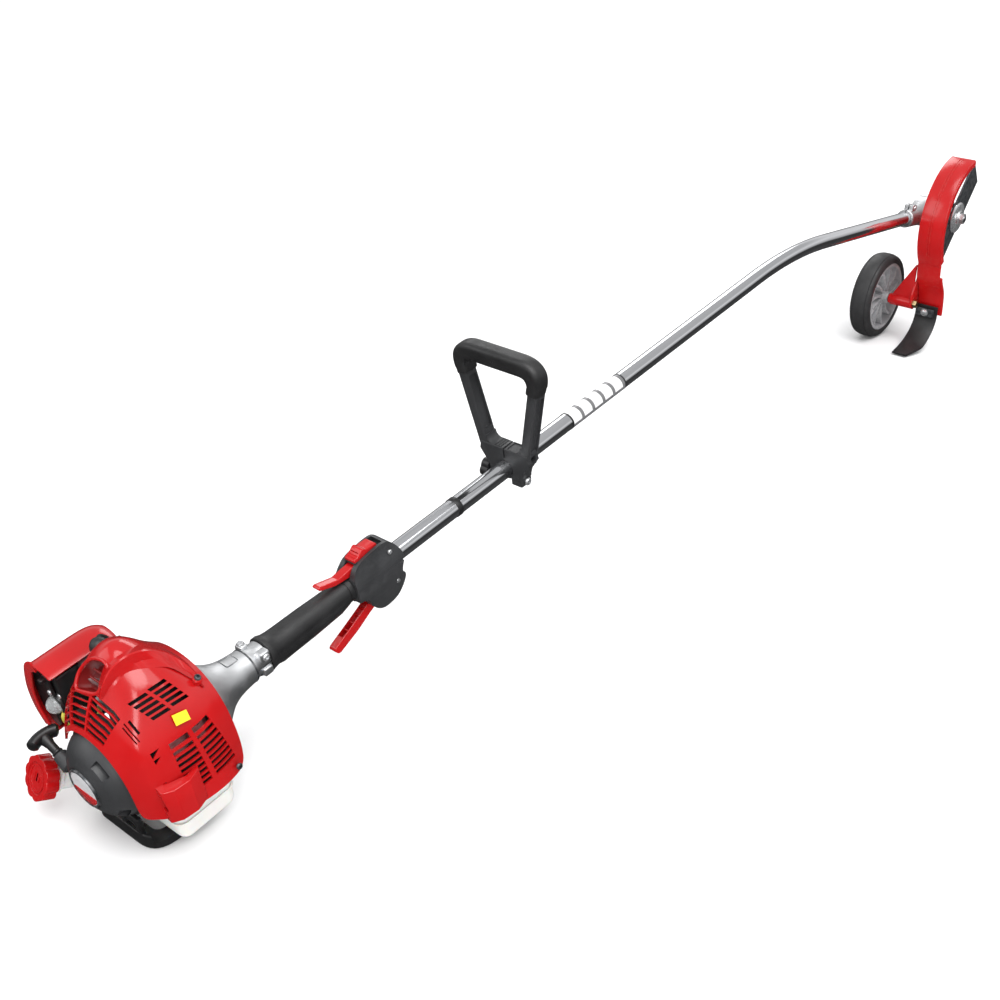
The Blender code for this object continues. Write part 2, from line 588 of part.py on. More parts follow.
# ---- grips and controls -----------------------------------------------------------------------
HOUSING = [(121.6, 14), (128, 25), (140, 31), (168, 34), (180, 30), (190, 17), (194, 3),
           (190, -8), (189, -14), (192, -20), (187, -34), (177, -44), (162, -47), (150, -42),
           (140, -31), (132, -17), (121.6, -14)]


def grips():
    g = turned("rear_grip", [(-1, 11.4), (-1, 18.5), (5, 18.5), (13, 16.4), (60, GRIP_R + 1.5),
                             (100, GRIP_R + 0.3), (112, GRIP_R), (121.2, GRIP_R), (121.2, 11.4)],
               look="rubber", steps=20)
    belly = rod("grip_belly", (8, 0, -5.4), (118, 0, -4.2), 15.6, r2=14.2, sides=20,
                cutter=True)
    clips = [((16, 0, -18.5), (9, 9, 9), None), ((42, 0, -18.5), (8, 8, 9), None)]
    join(g, belly, many_blocks("cable_clips", clips))
    cut(g, rod("grip_bore", (-10, 0, 0), (130, 0, 0), 11.4, sides=20, cutter=True))
    cut(g, tube("clip_bore", [(140, 8, -16.8), (126, 6, -17.5), (112, 4, -18.2), (60, 2, -19),
                              (16, 0, -24), (2, 0, -26), (-10, 0, -26)], 2.6, cutter=True))
    pocket = plate("trigger_room", [(118, -16), (150, -13), (182, -13), (184, -30), (174, -39),
                                    (160, -43), (156, -60), (118, -60)], -7.5, 7.5,
                   cutter=True)
    top = plate("lockout_room", [(100, 12.5), (152, 12.5), (152, 24), (140, 40), (100, 40)],
                -7.5, 7.5, cutter=True)
    bed = block("switch_room", (130, -8.5, 29), (174, 8.5, 50), cutter=True)
    bore = rod("housing_bore", (110, 0, 0), (210, 0, 0), 11.4, cutter=True)
    room = tube("cable_room", [(110, 4, -18.2), (126, 6, -17.5), (136, 7, -17)], 2.6,
                cutter=True)
    side = [(9.6, 40), (12.4, 24), (16, 9), (17.2, -2), (17.2, -15), (14.6, -32), (9, -50)]
    shape = plate("housing_section", side + [(-y, z) for y, z in side[::-1]], 100, 220,
                  plane="YZ", cutter=True)
    for name, lo, hi in (("control_housing_left", 0.15, HOUSING_HALF),
                         ("control_housing_right", -HOUSING_HALF, -0.15)):
        h = plate(name, HOUSING, lo, hi, "grey")
        cut(h, shape, how='INTERSECT')
        cut(h, pocket, top, bed, bore, room)
    px, pz = TRIGGER_PIN
    lx, lz = LOCKOUT_PIN
    join(bpy.data.objects["control_housing_left"],
         rod("trigger_pin", (px, -7.2, pz), (px, 9, pz), 2.0, sides=12, cutter=True),
         rod("lockout_pin", (lx, -7.2, lz), (lx, 9, lz), 1.5, sides=12, cutter=True))
    t = plate("throttle_trigger", slab([(px + 6, pz + 3), (px - 6, pz + 4), (138, -34),
                                        (116, -44), (86, -57), (91, -67), (122, -56),
                                        (142, -46), (154, -41), (px + 6, pz - 6)], 3, 3),
              -5.2, 5.2, "red", soft=1.0)
    cut(t, rod("trigger_hole", (px, -10, pz), (px, 10, pz), 2.3, sides=12, cutter=True))
    lever = [(81, 29), (84, 25), (104, 18), (124, 15.8), (lx + 5, 14.4), (lx + 7, 19.5),
             (lx - 1, 27), (128, 25.5), (108, 23.5), (92, 28)]
    k = plate("lockout_lever", slab(lever, 2, 3), -5.4, 5.4, "red", soft=1.0)
    cut(k, rod("lockout_hole", (lx, -10, lz), (lx, 10, lz), 1.8, sides=12, cutter=True))
    sw = plate("stop_switch", slab([(132, 29.4), (132, 33), (140, 36), (146, 40), (152, 37),
                                    (164, 37), (166, 29.4)], 1.5, 3), -7.8, 7.8, "red", soft=0.8)


def loop_line(n=5):
    """Centre line of the handle's bar in y, z from the right foot over the top to the left."""
    return slab([(-27.9, 11, 0), (-58.6, 145.5, 20), (58.6, 145.5, 20), (27.9, 11, 0)], 0, n)


def front_handle():
    line = loop_line()
    h = plate("front_handle", ribbon(line, LOOP_BAR), LOOP_X - 9, LOOP_X + 9, "black", "YZ")
    foot = [(-38, 17), (-26.5, 0), (-23.8, -9), (-23.8, -12), (23.8, -12), (23.8, -9),
            (26.5, 0), (38, 17), (35, 28), (-35, 28)]
    join(h, plate("handle_foot", foot, LOOP_X - 9.6, LOOP_X + 9.6, plane="YZ", cutter=True),
         block("handle_lugs", (LOOP_X - 8.5, -24, -22), (LOOP_X + 8.5, 24, -8), cutter=True))
    cut(h, rod("handle_bore", (LOOP_X - 30, 0, 0), (LOOP_X + 30, 0, 0), 11.4, cutter=True),
        block("handle_split", (LOOP_X - 30, -1.2, 5), (LOOP_X + 30, 1.2, 60), cutter=True),
        block("lug_gap", (LOOP_X - 30, -7, -60), (LOOP_X + 30, 7, -5), cutter=True),
        rod("clamp_way", (LOOP_X, -50, CLAMP_Z), (LOOP_X, 50, CLAMP_Z), 3.1, sides=12,
            cutter=True))
    turn = [p for p in line if p[1] > 117]
    path = [(turn[0][0] + 2.3, 115), *turn, (turn[-1][0] - 2.3, 115)]
    g = plate("handle_grip", ribbon(path, 11.4), LOOP_X - 11.9, LOOP_X + 11.9, "rubber", "YZ",
              soft=3.5)
    cut(g, plate("bar_room", ribbon(line, LOOP_BAR + 0.5), LOOP_X - 9.5, LOOP_X + 9.5,
                 plane="YZ", cutter=True))
    knob = plate("handle_knob", teeth(15, 13, 6), 0, 11, "black", "XZ", soft=1.2)
    knob.location = Vector((LOOP_X, 33, CLAMP_Z)) * MM
    join(knob, rod("knob_stud", (LOOP_X, -26, CLAMP_Z), (LOOP_X, 30, CLAMP_Z), 2.6, sides=12,
                   cutter=True),
         rod("stud_head", (LOOP_X, -27, CLAMP_Z), (LOOP_X, -24.3, CLAMP_Z), 5, sides=16,
             cutter=True))


# ---- cutting head ------------------------------------------------------------------------------
def gear_case():
    c = turned("gear_case", [(-98, 11.4), (-98, 15), (-60, 16), (-30, 20), (-16, 22), (-16, 8),
                             (-28, 8), (-28, 11.4)], look="cast", parent=HEADF, steps=20)
    join(c, rod("case_body", (0, -26, 0), (0, 24, 0), 25, parent=HEADF, cutter=True, sides=24),
         rod("case_nose", (0, -38.5, 0), (0, -25, 0), 16, parent=HEADF, cutter=True),
         many_blocks("case_ears", [((-82, 0, 17), (14, 16, 10), None),
                                   ((-38, -19, -4), (14, 8, 12), None)], HEADF))
    cut(c, rod("gear_room", (0, -20, 0), (0, 20, 0), 20, parent=HEADF, cutter=True, sides=24),
        rod("nose_bore", (0, -45, 0), (0, -19, 0), 9, parent=HEADF, cutter=True),
        rod("neck_bore", (-35, 0, 0), (-10, 0, 0), 9, parent=HEADF, cutter=True),
        block("case_slit", (-120, -1, 9), (-66, 1, 40), parent=HEADF, cutter=True))
    join(c, rod("head_bolt_a", (-82, -12, 18), (-82, 11, 18), 3.4, parent=HEADF, cutter=True,
                sides=12),
         rod("head_bolt_b", (-38, -26, -4), (-38, -20, -4), 4.2, parent=HEADF, cutter=True,
             sides=12))
    pin = plate("input_pinion", teeth(8.0, 6.6, 10), -19, -7, "steel", "YZ", HEADF)
    join(pin, rod("pinion_stem", (-27, 0, 0), (-17.5, 0, 0), 5.7, parent=HEADF, cutter=True,
                  sides=14))
    cut(pin, rod("pinion_bore", (-40, 0, 0), (-12, 0, 0), 3.6, sides=12, parent=HEADF,
                 cutter=True))
    out = rod("output_shaft", (0, -66, 0), (0, 17, 0), 5, "steel", HEADF)
    wheel = plate("crown_gear", teeth(18.0, 16.2, 14), -14, -8.6, plane="XZ", parent=HEADF,
                  cutter=True)
    join(out, wheel)


def blade_stack():
    hole = rod("arbor", (0, -80, 0), (0, -40, 0), 5.3, parent=HEADF, cutter=True)
    join(bpy.data.objects["output_shaft"],
         turned("blade_flange", [(38.8, 0), (38.8, 13), (43, 17), (46.5, 17), (46.5, 0)],
                (0, 0, 0), (0, -1, 0), parent=HEADF, loop=False, cutter=True))
    w, half = BLADE_W / 2, BLADE_HALF
    out = [(-half + 14, -w), (half, -w), (half - 14, w), (-half, w)]
    ca, sa = cos(BLADE_ANGLE + HEAD_TILT), sin(BLADE_ANGLE + HEAD_TILT)
    b = plate("blade", [(x * ca - z * sa, x * sa + z * ca) for x, z in out], BLADE_Y - 1.5,
              BLADE_Y + 1.5, "dark", "XZ", HEADF, soft=0.5)
    cut(b, hole)
    turned("blade_washer", [(50.1, 5.3), (50.1, 24), (51, 26), (53, 26), (54.5, 22), (55.5, 13),
                            (58, 12), (58, 5.3)], (0, 0, 0), (0, -1, 0), "zinc", HEADF, steps=24)
    nut = plate("blade_nut", ring_points(9.5, 6), -64.6, -58.3, "zinc", "XZ", HEADF)
    cut(nut, hole)


def guard():
    cx, cz = HEAD
    arc = [(cx + (GUARD_R + 1.6) * cos(a), cz + (GUARD_R + 1.6) * sin(a))
           for a in [radians(97 + 118 * i / 13) for i in range(14)]]
    tail = [(1434, 140), (1437, 124), (1446, 110), (1454, 96), (1458, 78), (1460, 56)]
    g = plate("guard", ribbon(arc + tail[:3], GUARD_T / 2), -72, -31, "red", "XZ", GROUND)
    rim = [(cx + (GUARD_R - 2) * cos(a), cz + (GUARD_R - 2) * sin(a))
           for a in [radians(98 + 114 * i / 12) for i in range(13)]]
    lip = plate("guard_lip", ribbon(rim, 4.7), -74, -71.4, plane="XZ", parent=GROUND,
                cutter=True)
    skirt = plate("guard_skirt", ribbon([(1436, 130), (1439, 122), (1447.5, 109)] + tail[3:],
                                        2.2), -76, -31.4, plane="XZ", parent=GROUND,
                  cutter=True)
    side = [(cx + 26, cz + 6), (cx + 20, cz + 24), (cx - 6, cz + 32), (cx - 60, cz + 66),
            (cx - 84, cz + 62), (cx - 103.5, cz + 10), (cx - 96, cz - 40), (cx - 86, cz - 62),
            (cx - 76, cz - 90), (cx - 64, cz - 118), (cx - 60, cz - 150), (cx - 22, cz - 120),
            (cx - 16, cz - 60), (cx + 20, cz - 22)]
    web = plate("guard_web", side, -34.5, -31.2, plane="XZ", parent=GROUND, cutter=True)
    join(g, web, skirt, lip)
    cut(g, rod("guard_eye", (cx, -60, cz), (cx, 0, cz), 16.4, parent=GROUND, cutter=True),
        rod("pivot_eye", (DEPTH_PIVOT[0], -60, DEPTH_PIVOT[1]),
            (DEPTH_PIVOT[0], 0, DEPTH_PIVOT[1]), 4.4, parent=GROUND, cutter=True, sides=16),
        plate("depth_slot", ribbon(slot_arc(), 4.4), -40, -20, plane="XZ", parent=GROUND,
              cutter=True),
        rod("cap_way_a", (-12, -60, 19), (-12, 0, 19), 6.5, parent=HEADF, cutter=True, sides=16),
        rod("cap_way_b", (17, -60, 14), (17, 0, 14), 6.5, parent=HEADF, cutter=True, sides=16))


SLOT_R = 62.0


def slot_arc():
    px, pz = DEPTH_PIVOT
    return [(px + SLOT_R * cos(a), pz + SLOT_R * sin(a))
            for a in [radians(273 - 17.5 * i / 5) for i in range(6)]]


def wheel_group():
    px, pz = DEPTH_PIVOT
    hx, hz = px + SLOT_R * cos(radians(268)), pz + SLOT_R * sin(radians(268))
    arm = plate("wheel_arm", slab([(px - 12, pz + 2), (px, pz + 12), (px + 12, pz), (hx + 12, hz),
                                   (hx + 4, hz - 14), (WHEEL_X + 2, WHEEL_R - 12),
                                   (WHEEL_X - 11, WHEEL_R - 4), (WHEEL_X - 8, WHEEL_R + 18)],
                                  5, 3), -30.7, -27.2, "red", "XZ", GROUND)
    web = plate("arm_web", [(-28, pz - 9), (11, WHEEL_R + 5), (11, WHEEL_R - 9),
                            (-28, WHEEL_R - 9)], WHEEL_X - 2, WHEEL_X + 1.6, plane="YZ",
                parent=GROUND, cutter=True)
    shelf = plate("arm_shelf", [(WHEEL_X - 2, -28), (WHEEL_X + 34, -28), (WHEEL_X + 6, 12),
                                (WHEEL_X - 2, 12)], WHEEL_R - 10, WHEEL_R - 7, plane="XY",
                  parent=GROUND, cutter=True)
    join(arm, web, shelf, rod("arm_boss", (WHEEL_X, -28, WHEEL_R), (WHEEL_X, 13.5, WHEEL_R), 9,
                              parent=GROUND, cutter=True))
    cut(arm, rod("axle_way", (WHEEL_X, -60, WHEEL_R), (WHEEL_X, 30, WHEEL_R), 4.4, sides=16,
                 parent=GROUND, cutter=True),
        rod("pivot_way", (px, -60, pz), (px, 0, pz), 4.4, sides=16, parent=GROUND, cutter=True),
        rod("lock_way", (hx, -60, hz), (hx, 0, hz), 4.4, sides=16, parent=GROUND, cutter=True))
    pivot = rod("pivot_bolt", (px, -38, pz), (px, -22, pz), 4, "zinc", GROUND, sides=16)
    join(pivot, rod("pivot_head", (px, -39, pz), (px, -34.9, pz), 8, parent=GROUND, sides=6,
                    cutter=True),
         rod("pivot_nut", (px, -26.9, pz), (px, -20, pz), 7.5, parent=GROUND, sides=6,
             cutter=True))
    lock = rod("depth_bolt", (hx, -44, hz), (hx, -22, hz), 4, "zinc", GROUND, sides=16)
    join(lock, rod("lock_head", (hx, -42, hz), (hx, -34.9, hz), 8, parent=GROUND, sides=6,
                   cutter=True),
         rod("lock_nut", (hx, -26.9, hz), (hx, -18, hz), 8, parent=GROUND, sides=6,
             cutter=True))
    y0, y1 = WHEEL_Y - WHEEL_HALF, WHEEL_Y + WHEEL_HALF
    at = (WHEEL_X, WHEEL_Y, WHEEL_R)
    tyre = [(-18, 59.3), (-18, 66), (-14, 72), (-8, 74), (8, 74), (14, 72), (18, 66), (18, 59.3)]
    turned("tyre", tyre, at, (0, 1, 0), "rubber", GROUND, steps=32)
    hub = turned("wheel_hub", [(-16.5, 54), (-16.5, 59), (16.5, 59), (16.5, 54), (4, 54),
                               (-4, 54)], at, (0, 1, 0), "hub", GROUND, steps=28)
    rim = ring_points(55.5, 28)
    windows = []
    for i in range(11):
        a = 2 * pi * i / 11
        b = a + 2 * pi / 11
        win = []
        for k in range(3):
            t = k / 2
            r = 15 + 36.5 * t
            win.append((r * cos(a + .35 * t + 2.2 / r), r * sin(a + .35 * t + 2.2 / r)))
        for k in range(2, -1, -1):
            t = k / 2
            r = 15 + 36.5 * t
            win.append((r * cos(b + .35 * t - 2.2 / r), r * sin(b + .35 * t - 2.2 / r)))
        windows.append(win)
    spokes = plate("spokes", rim, -4, 4, plane="XZ", parent=GROUND, at=at, holes=windows,
                   cutter=True)
    join(hub, spokes, turned("hub_boss", [(-22.5, 0), (-22.5, 10), (-4, 12), (12, 12), (12, 0)],
                             at, (0, 1, 0), parent=GROUND, loop=False, cutter=True))
    cut(hub, rod("hub_bore", (WHEEL_X, 0, WHEEL_R), (WHEEL_X, 80, WHEEL_R), 4.4, parent=GROUND,
                 sides=16, cutter=True))
    axle = rod("axle_bolt", (WHEEL_X, -36, WHEEL_R), (WHEEL_X, 54, WHEEL_R), 4, "zinc", GROUND,
               sides=16)
    join(axle, rod("axle_head", (WHEEL_X, 49.2, WHEEL_R), (WHEEL_X, 54, WHEEL_R), 8,
                   parent=GROUND, sides=12, cutter=True),
         rod("axle_nut", (WHEEL_X, -38, WHEEL_R), (WHEEL_X, -31.1, WHEEL_R), 7, parent=GROUND,
             sides=6, cutter=True))


def flap():
    sheet = [(1451.8, 72), (1451.8, 54), (1448, 41), (1438, 28), (1420, 16), (1398, 8),
             (1376, 4)]
    f = plate("mud_flap", ribbon(sheet, 1.6), -71, -32, "rubber", "XZ", GROUND)
    cut(f, plate("flap_corner", [(1350, -74), (1418, -74), (1350, -46)], -5, 60, plane="XY",
                 parent=GROUND, cutter=True))
    b = plate("flap_bracket", [(1446.2, 67), (1449.4, 67), (1449.4, 53), (1446.2, 53)], -66, -34,
              "black", "XZ", GROUND)
    join(b, rod("flap_bolt", (1443, -50, 60), (1449, -50, 60), 5, parent=GROUND, sides=16,
                cutter=True))


drive_tube()
crank_group()
crankcase()
cylinder()
ignition()
intake()
air_cleaner()
fuel()
muffler()
fan_housing()
starter()
engine_cover()
stand()
cable()
grips()
front_handle()
gear_case()
blade_stack()
guard()
wheel_group()
flap()
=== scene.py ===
"""Looks of the stick edger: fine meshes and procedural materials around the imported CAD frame.

Lengths in the modelling code are millimetres in one of three local frames: ENGINE, whose X axis
is the straight part of the tube, HEAD, at the gear case, and GROUND, level with the floor.
"""
import bpy
import bmesh
import json
from math import sin, cos, pi, radians, atan2, hypot
from mathutils import Vector, Matrix


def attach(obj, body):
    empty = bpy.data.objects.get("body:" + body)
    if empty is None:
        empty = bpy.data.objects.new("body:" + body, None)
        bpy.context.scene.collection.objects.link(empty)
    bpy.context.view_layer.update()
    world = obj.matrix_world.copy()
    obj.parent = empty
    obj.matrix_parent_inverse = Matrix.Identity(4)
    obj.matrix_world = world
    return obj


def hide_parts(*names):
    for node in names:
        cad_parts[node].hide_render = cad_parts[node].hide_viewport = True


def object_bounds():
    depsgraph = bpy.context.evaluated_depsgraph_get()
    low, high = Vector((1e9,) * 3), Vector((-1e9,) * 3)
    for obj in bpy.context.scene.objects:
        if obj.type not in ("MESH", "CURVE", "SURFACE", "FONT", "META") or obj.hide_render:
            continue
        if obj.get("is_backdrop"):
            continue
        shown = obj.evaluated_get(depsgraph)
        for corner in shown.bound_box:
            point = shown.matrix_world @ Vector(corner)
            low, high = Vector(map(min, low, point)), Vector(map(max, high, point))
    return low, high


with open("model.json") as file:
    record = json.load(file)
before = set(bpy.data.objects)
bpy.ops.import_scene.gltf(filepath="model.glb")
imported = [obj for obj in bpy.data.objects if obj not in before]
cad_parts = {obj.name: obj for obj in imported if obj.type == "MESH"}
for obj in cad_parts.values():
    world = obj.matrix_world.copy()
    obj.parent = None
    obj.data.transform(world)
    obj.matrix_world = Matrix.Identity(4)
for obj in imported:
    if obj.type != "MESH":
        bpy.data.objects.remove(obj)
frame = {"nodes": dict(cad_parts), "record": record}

CAD_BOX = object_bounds()
MM = 0.001
TILT = radians(8.14)
ENGINE = Matrix.Translation((0.168, 0, 0.1223)) @ Matrix.Rotation(-TILT, 4, 'Y')
GROUND = Matrix.Translation((0.168, 0, 0))
HEAD = Matrix.Translation((1.687, 0, 0.211)) @ Matrix.Rotation(radians(7), 4, 'Y')
scene = bpy.context.scene


# ---- materials --------------------------------------------------------------------------
def shader(name, rgb, rough, metal=0.0, vary=0.06, scale=40.0, grain=0.0, grain_scale=900.0,
        scratch=0.0, coat=0.0, spread=0.06, wear=0.0, wear_rgb=None, **sockets):
    """Base colour with cloudy variation and worn edges, uneven roughness, bump from fine grain
    and from long scratches."""
    m = bpy.data.materials.new(name)
    m.use_nodes = True
    t = m.node_tree
    n, link = t.nodes, t.links.new
    p = n["Principled BSDF"]
    where = n.new("ShaderNodeTexCoord").outputs["Object"]

    def noise(s, detail=4.0, vector=where):
        x = n.new("ShaderNodeTexNoise")
        x.inputs["Scale"].default_value = s
        x.inputs["Detail"].default_value = detail
        link(vector, x.inputs["Vector"])
        return x.outputs["Fac"]

    def spread_to(fac, lo, hi, a=0.3, b=0.7):
        r = n.new("ShaderNodeMapRange")
        for k, v in (("From Min", a), ("From Max", b), ("To Min", lo), ("To Max", hi)):
            r.inputs[k].default_value = v
        link(fac, r.inputs["Value"])
        return r.outputs["Result"]

    def mix(fac, a, b):
        x = n.new("ShaderNodeMix")
        x.data_type = 'RGBA'
        for socket, v in ((x.inputs["Factor"], fac), (x.inputs[6], a), (x.inputs[7], b)):
            if isinstance(v, (tuple, float)):
                socket.default_value = v
            else:
                link(v, socket)
        return x.outputs[2]

    dark = tuple(c * (1 - vary) for c in rgb) + (1.0,)
    light = tuple(min(1.0, c * (1 + vary) + vary * 0.02) for c in rgb) + (1.0,)
    colour = mix(spread_to(noise(scale), 0.0, 1.0), dark, light)
    if wear:
        geo = n.new("ShaderNodeNewGeometry").outputs["Pointiness"]
        edge = n.new("ShaderNodeMath")
        edge.operation = 'MULTIPLY'
        link(spread_to(geo, 0.0, wear, 0.52, 0.62), edge.inputs[0])
        link(spread_to(noise(160.0), 0.0, 1.0, 0.42, 0.6), edge.inputs[1])
        colour = mix(edge.outputs[0], colour, (*(wear_rgb or rgb), 1.0))
    link(colour, p.inputs["Base Color"])
    link(spread_to(noise(scale * 2.3, 6.0), max(0.02, rough - spread), rough + spread),
        p.inputs["Roughness"])
    p.inputs["Metallic"].default_value = metal
    if coat:
        p.inputs["Coat Weight"].default_value = coat
        p.inputs["Coat Roughness"].default_value = 0.06
    ends = [p.inputs["Normal"]]

    def bump(strength, distance, source):
        b = n.new("ShaderNodeBump")
        b.inputs["Strength"].default_value = strength
        b.inputs["Distance"].default_value = distance
        link(source, b.inputs["Height"])
        link(b.outputs["Normal"], ends[-1])
        ends.append(b.inputs["Normal"])

    if scratch:
        s = n.new("ShaderNodeMapping")
        s.inputs["Scale"].default_value = (6.0, 900.0, 900.0)
        link(where, s.inputs["Vector"])
        bump(scratch, 0.0001, noise(1.0, 3.0, s.outputs["Vector"]))
    if grain:
        bump(grain, 0.0003, noise(grain_scale, 2.0))
    for k, v in sockets.items():
        p.inputs[k.replace("_", " ")].default_value = v
    return m


RED = (0.45, 0.005, 0.006)
MAT = {
    "red": shader("red_moulding", RED, 0.16, vary=0.10, scale=14, grain=0.05, grain_scale=260,
        coat=0.2, spread=0.05, wear=0.2, wear_rgb=(0.5, 0.03, 0.03)),
    # a darker copy of the red moulding, painted shade for the hollow pocket of the scoop and its
    # ribs
    "red_dark": shader("red_moulding_painted_shade", (0.16, 0.003, 0.003), 0.35, vary=0.15, scale=20, grain=0.2,
        grain_scale=500, spread=0.08),
    "paint": shader("red_powder_coat", (0.45, 0.005, 0.006), 0.2, vary=0.08, scale=18, grain=0.16,
        grain_scale=620, coat=0.2, spread=0.06, wear=0.35, wear_rgb=(0.45, 0.08, 0.06)),
    "black": shader("black_moulding", (0.009, 0.009, 0.0095), 0.36, vary=0.25, scale=30,
        grain=0.25, grain_scale=1100, spread=0.08, wear=0.15, wear_rgb=(0.05, 0.05, 0.052)),
    "grey": shader("grey_moulding", (0.030, 0.031, 0.033), 0.40, vary=0.16, scale=24, grain=0.45,
        grain_scale=1500, spread=0.07, wear=0.15, wear_rgb=(0.09, 0.09, 0.095)),
    "rubber": shader("rubber_grip", (0.012, 0.012, 0.0125), 0.42, vary=0.22, scale=35, grain=0.6,
        grain_scale=1800, spread=0.09, wear=0.15, wear_rgb=(0.04, 0.04, 0.042)),
    "tyre": shader("tyre_rubber", (0.020, 0.020, 0.021), 0.5, vary=0.3, scale=22, grain=0.5,
        grain_scale=900, spread=0.1, wear=0.7, wear_rgb=(0.08, 0.078, 0.075)),
    "cast": shader("cast_alloy", (0.66, 0.67, 0.68), 0.42, 1.0, vary=0.10, scale=30, grain=0.6,
        grain_scale=1300, spread=0.08, wear=0.5, wear_rgb=(0.75, 0.75, 0.76)),
    "chrome": shader("chrome_tube", (0.74, 0.75, 0.77), 0.11, 1.0, vary=0.03, scale=12,
        scratch=0.12, spread=0.035),
    "steel": shader("machined_steel", (0.42, 0.42, 0.43), 0.33, 1.0, vary=0.12, scale=60,
        scratch=0.5, spread=0.09),
    "dark": shader("black_steel", (0.045, 0.05, 0.055), 0.36, 0.55, vary=0.2, scale=50, grain=0.35,
        grain_scale=700, scratch=0.4, spread=0.09, wear=0.8, wear_rgb=(0.3, 0.3, 0.31)),
    "zinc": shader("zinc_plate", (0.74, 0.75, 0.76), 0.30, 0.85, vary=0.08, scale=70, grain=0.2,
        grain_scale=1200, spread=0.07),
    "brass": shader("yellow_zinc", (0.60, 0.47, 0.25), 0.3, 1.0, vary=0.14, scale=80, grain=0.2,
        grain_scale=900, spread=0.08),
    "white": shader("tank_white", (0.80, 0.80, 0.77), 0.3, vary=0.03, scale=10, grain=0.12,
        grain_scale=420, spread=0.06, Subsurface_Weight=0.35, Subsurface_Scale=0.006),
    "clear": shader("clear_bulb", (0.85, 0.88, 0.88), 0.09, vary=0.02, scale=30, spread=0.03,
        grain=0.05, grain_scale=300, Transmission_Weight=0.75, IOR=1.42),
    "fuel": shader("fuel_hose", (0.72, 0.66, 0.10), 0.28, vary=0.1, scale=40, spread=0.05,
        grain=0.1, grain_scale=500, Subsurface_Weight=0.3, Subsurface_Scale=0.003),
    "hub": shader("hub_grey", (0.27, 0.27, 0.28), 0.42, vary=0.08, scale=26, grain=0.4,
        grain_scale=1300, spread=0.07, wear=0.5, wear_rgb=(0.6, 0.6, 0.6)),
    "foam": shader("filter_foam", (0.03, 0.03, 0.03), 0.9, vary=0.5, scale=500, grain=1.0,
        grain_scale=700, spread=0.05),
    "cord": shader("starter_cord", (0.72, 0.72, 0.68), 0.75, vary=0.2, scale=300, grain=1.0,
        grain_scale=1500, spread=0.08),
    "tag": shader("yellow_tag", (0.85, 0.70, 0.02), 0.3, vary=0.05, scale=60, grain=0.05,
        grain_scale=500, coat=0.3, spread=0.05),
    "badge": shader("badge_silver", (0.72, 0.72, 0.73), 0.34, 0.3, vary=0.05, scale=60,
        scratch=0.4, spread=0.06),
    "hole": shader("shadow_black", (0.006, 0.006, 0.006), 0.7, vary=0.2, scale=30, grain=0.1),
}
# the record's material slot of each look; five more looks share one
SLOTS = {"red": "red_plastic", "paint": "red_paint", "black": "black_plastic",
    "grey": "grey_plastic", "cast": "cast_aluminium", "dark": "dark_steel",
    "white": "white_plastic", "clear": "clear_plastic", "fuel": "yellow_tube",
    "hub": "hub_plastic", "rubber": "rubber", "tyre": "tyre", "chrome": "chrome", "steel": "steel",
    "zinc": "zinc", "foam": "foam", "cord": "cord"}
LOOKS = {slot: look for look, slot in SLOTS.items()}
SLOTS.update(brass="zinc", badge="zinc", red_dark="red_plastic", tag="white_plastic",
    hole="dark_steel")


def banded(name, base, mark, step, duty):
    """Plain light fields in a row on a dark film, with nothing printed in them."""
    m = shader(name, base, 0.3, vary=0.05, scale=60, spread=0.05, coat=0.3)
    t = m.node_tree
    n, link = t.nodes, t.links.new
    p = n["Principled BSDF"]
    old = p.inputs["Base Color"].links[0].from_socket
    xyz = n.new("ShaderNodeSeparateXYZ")
    link(n.new("ShaderNodeUVMap").outputs["UV"], xyz.inputs["Vector"])

    def maths(kind, *values):
        x = n.new("ShaderNodeMath")
        x.operation = kind
        for socket, v in zip(x.inputs, values):
            if isinstance(v, float):
                socket.default_value = v
            else:
                link(v, socket)
        return x.outputs[0]

    along = maths('LESS_THAN', maths('FRACT', maths('MULTIPLY', xyz.outputs["X"], 1.0 / step)),
        duty)
    around = maths('COMPARE', xyz.outputs["Y"], 0.5, 0.34)
    x = n.new("ShaderNodeMix")
    x.data_type = 'RGBA'
    link(maths('MULTIPLY', along, around), x.inputs["Factor"])
    link(old, x.inputs[6])
    x.inputs[7].default_value = (*mark, 1.0)
    link(x.outputs[2], p.inputs["Base Color"])
    return m


# ---- mesh tools -------------------------------------------------------------------------
def loose(name, bm):
    """An object from a bmesh as it is."""
    me = bpy.data.meshes.new(name)
    bm.to_mesh(me)
    bm.free()
    return linked(name, me)


def linked(name, data):
    o = bpy.data.objects.new(name, data)
    scene.collection.objects.link(o)
    return o


def raw(name, bm):
    """A loose object with its faces turned outwards, still in the axes of its local frame."""
    bmesh.ops.recalc_face_normals(bm, faces=bm.faces)
    return loose(name, bm)


def mod(o, kind, **values):
    m = o.modifiers.new(kind.lower(), kind)
    for k, v in values.items():
        setattr(m, k, v)
    return o


def soft(o, width, seg=2, angle=40):
    return mod(o, 'BEVEL', width=width * MM, segments=seg, limit_method='ANGLE',
        angle_limit=radians(angle), harden_normals=False)


def bake(o):
    """Apply the modifiers."""
    bpy.context.view_layer.update()
    dep = bpy.context.evaluated_depsgraph_get()
    me = bpy.data.meshes.new_from_object(o.evaluated_get(dep))
    o.modifiers.clear()
    o.data = me
    return o


def cut(o, *tools, how='DIFFERENCE'):
    for t in tools:
        mod(o, 'BOOLEAN', operation=how, object=t, solver='EXACT')
    bake(o)
    for t in tools:
        bpy.data.objects.remove(t, do_unlink=True)
    return o


def join(o, *tools):
    return cut(o, *tools, how='UNION')


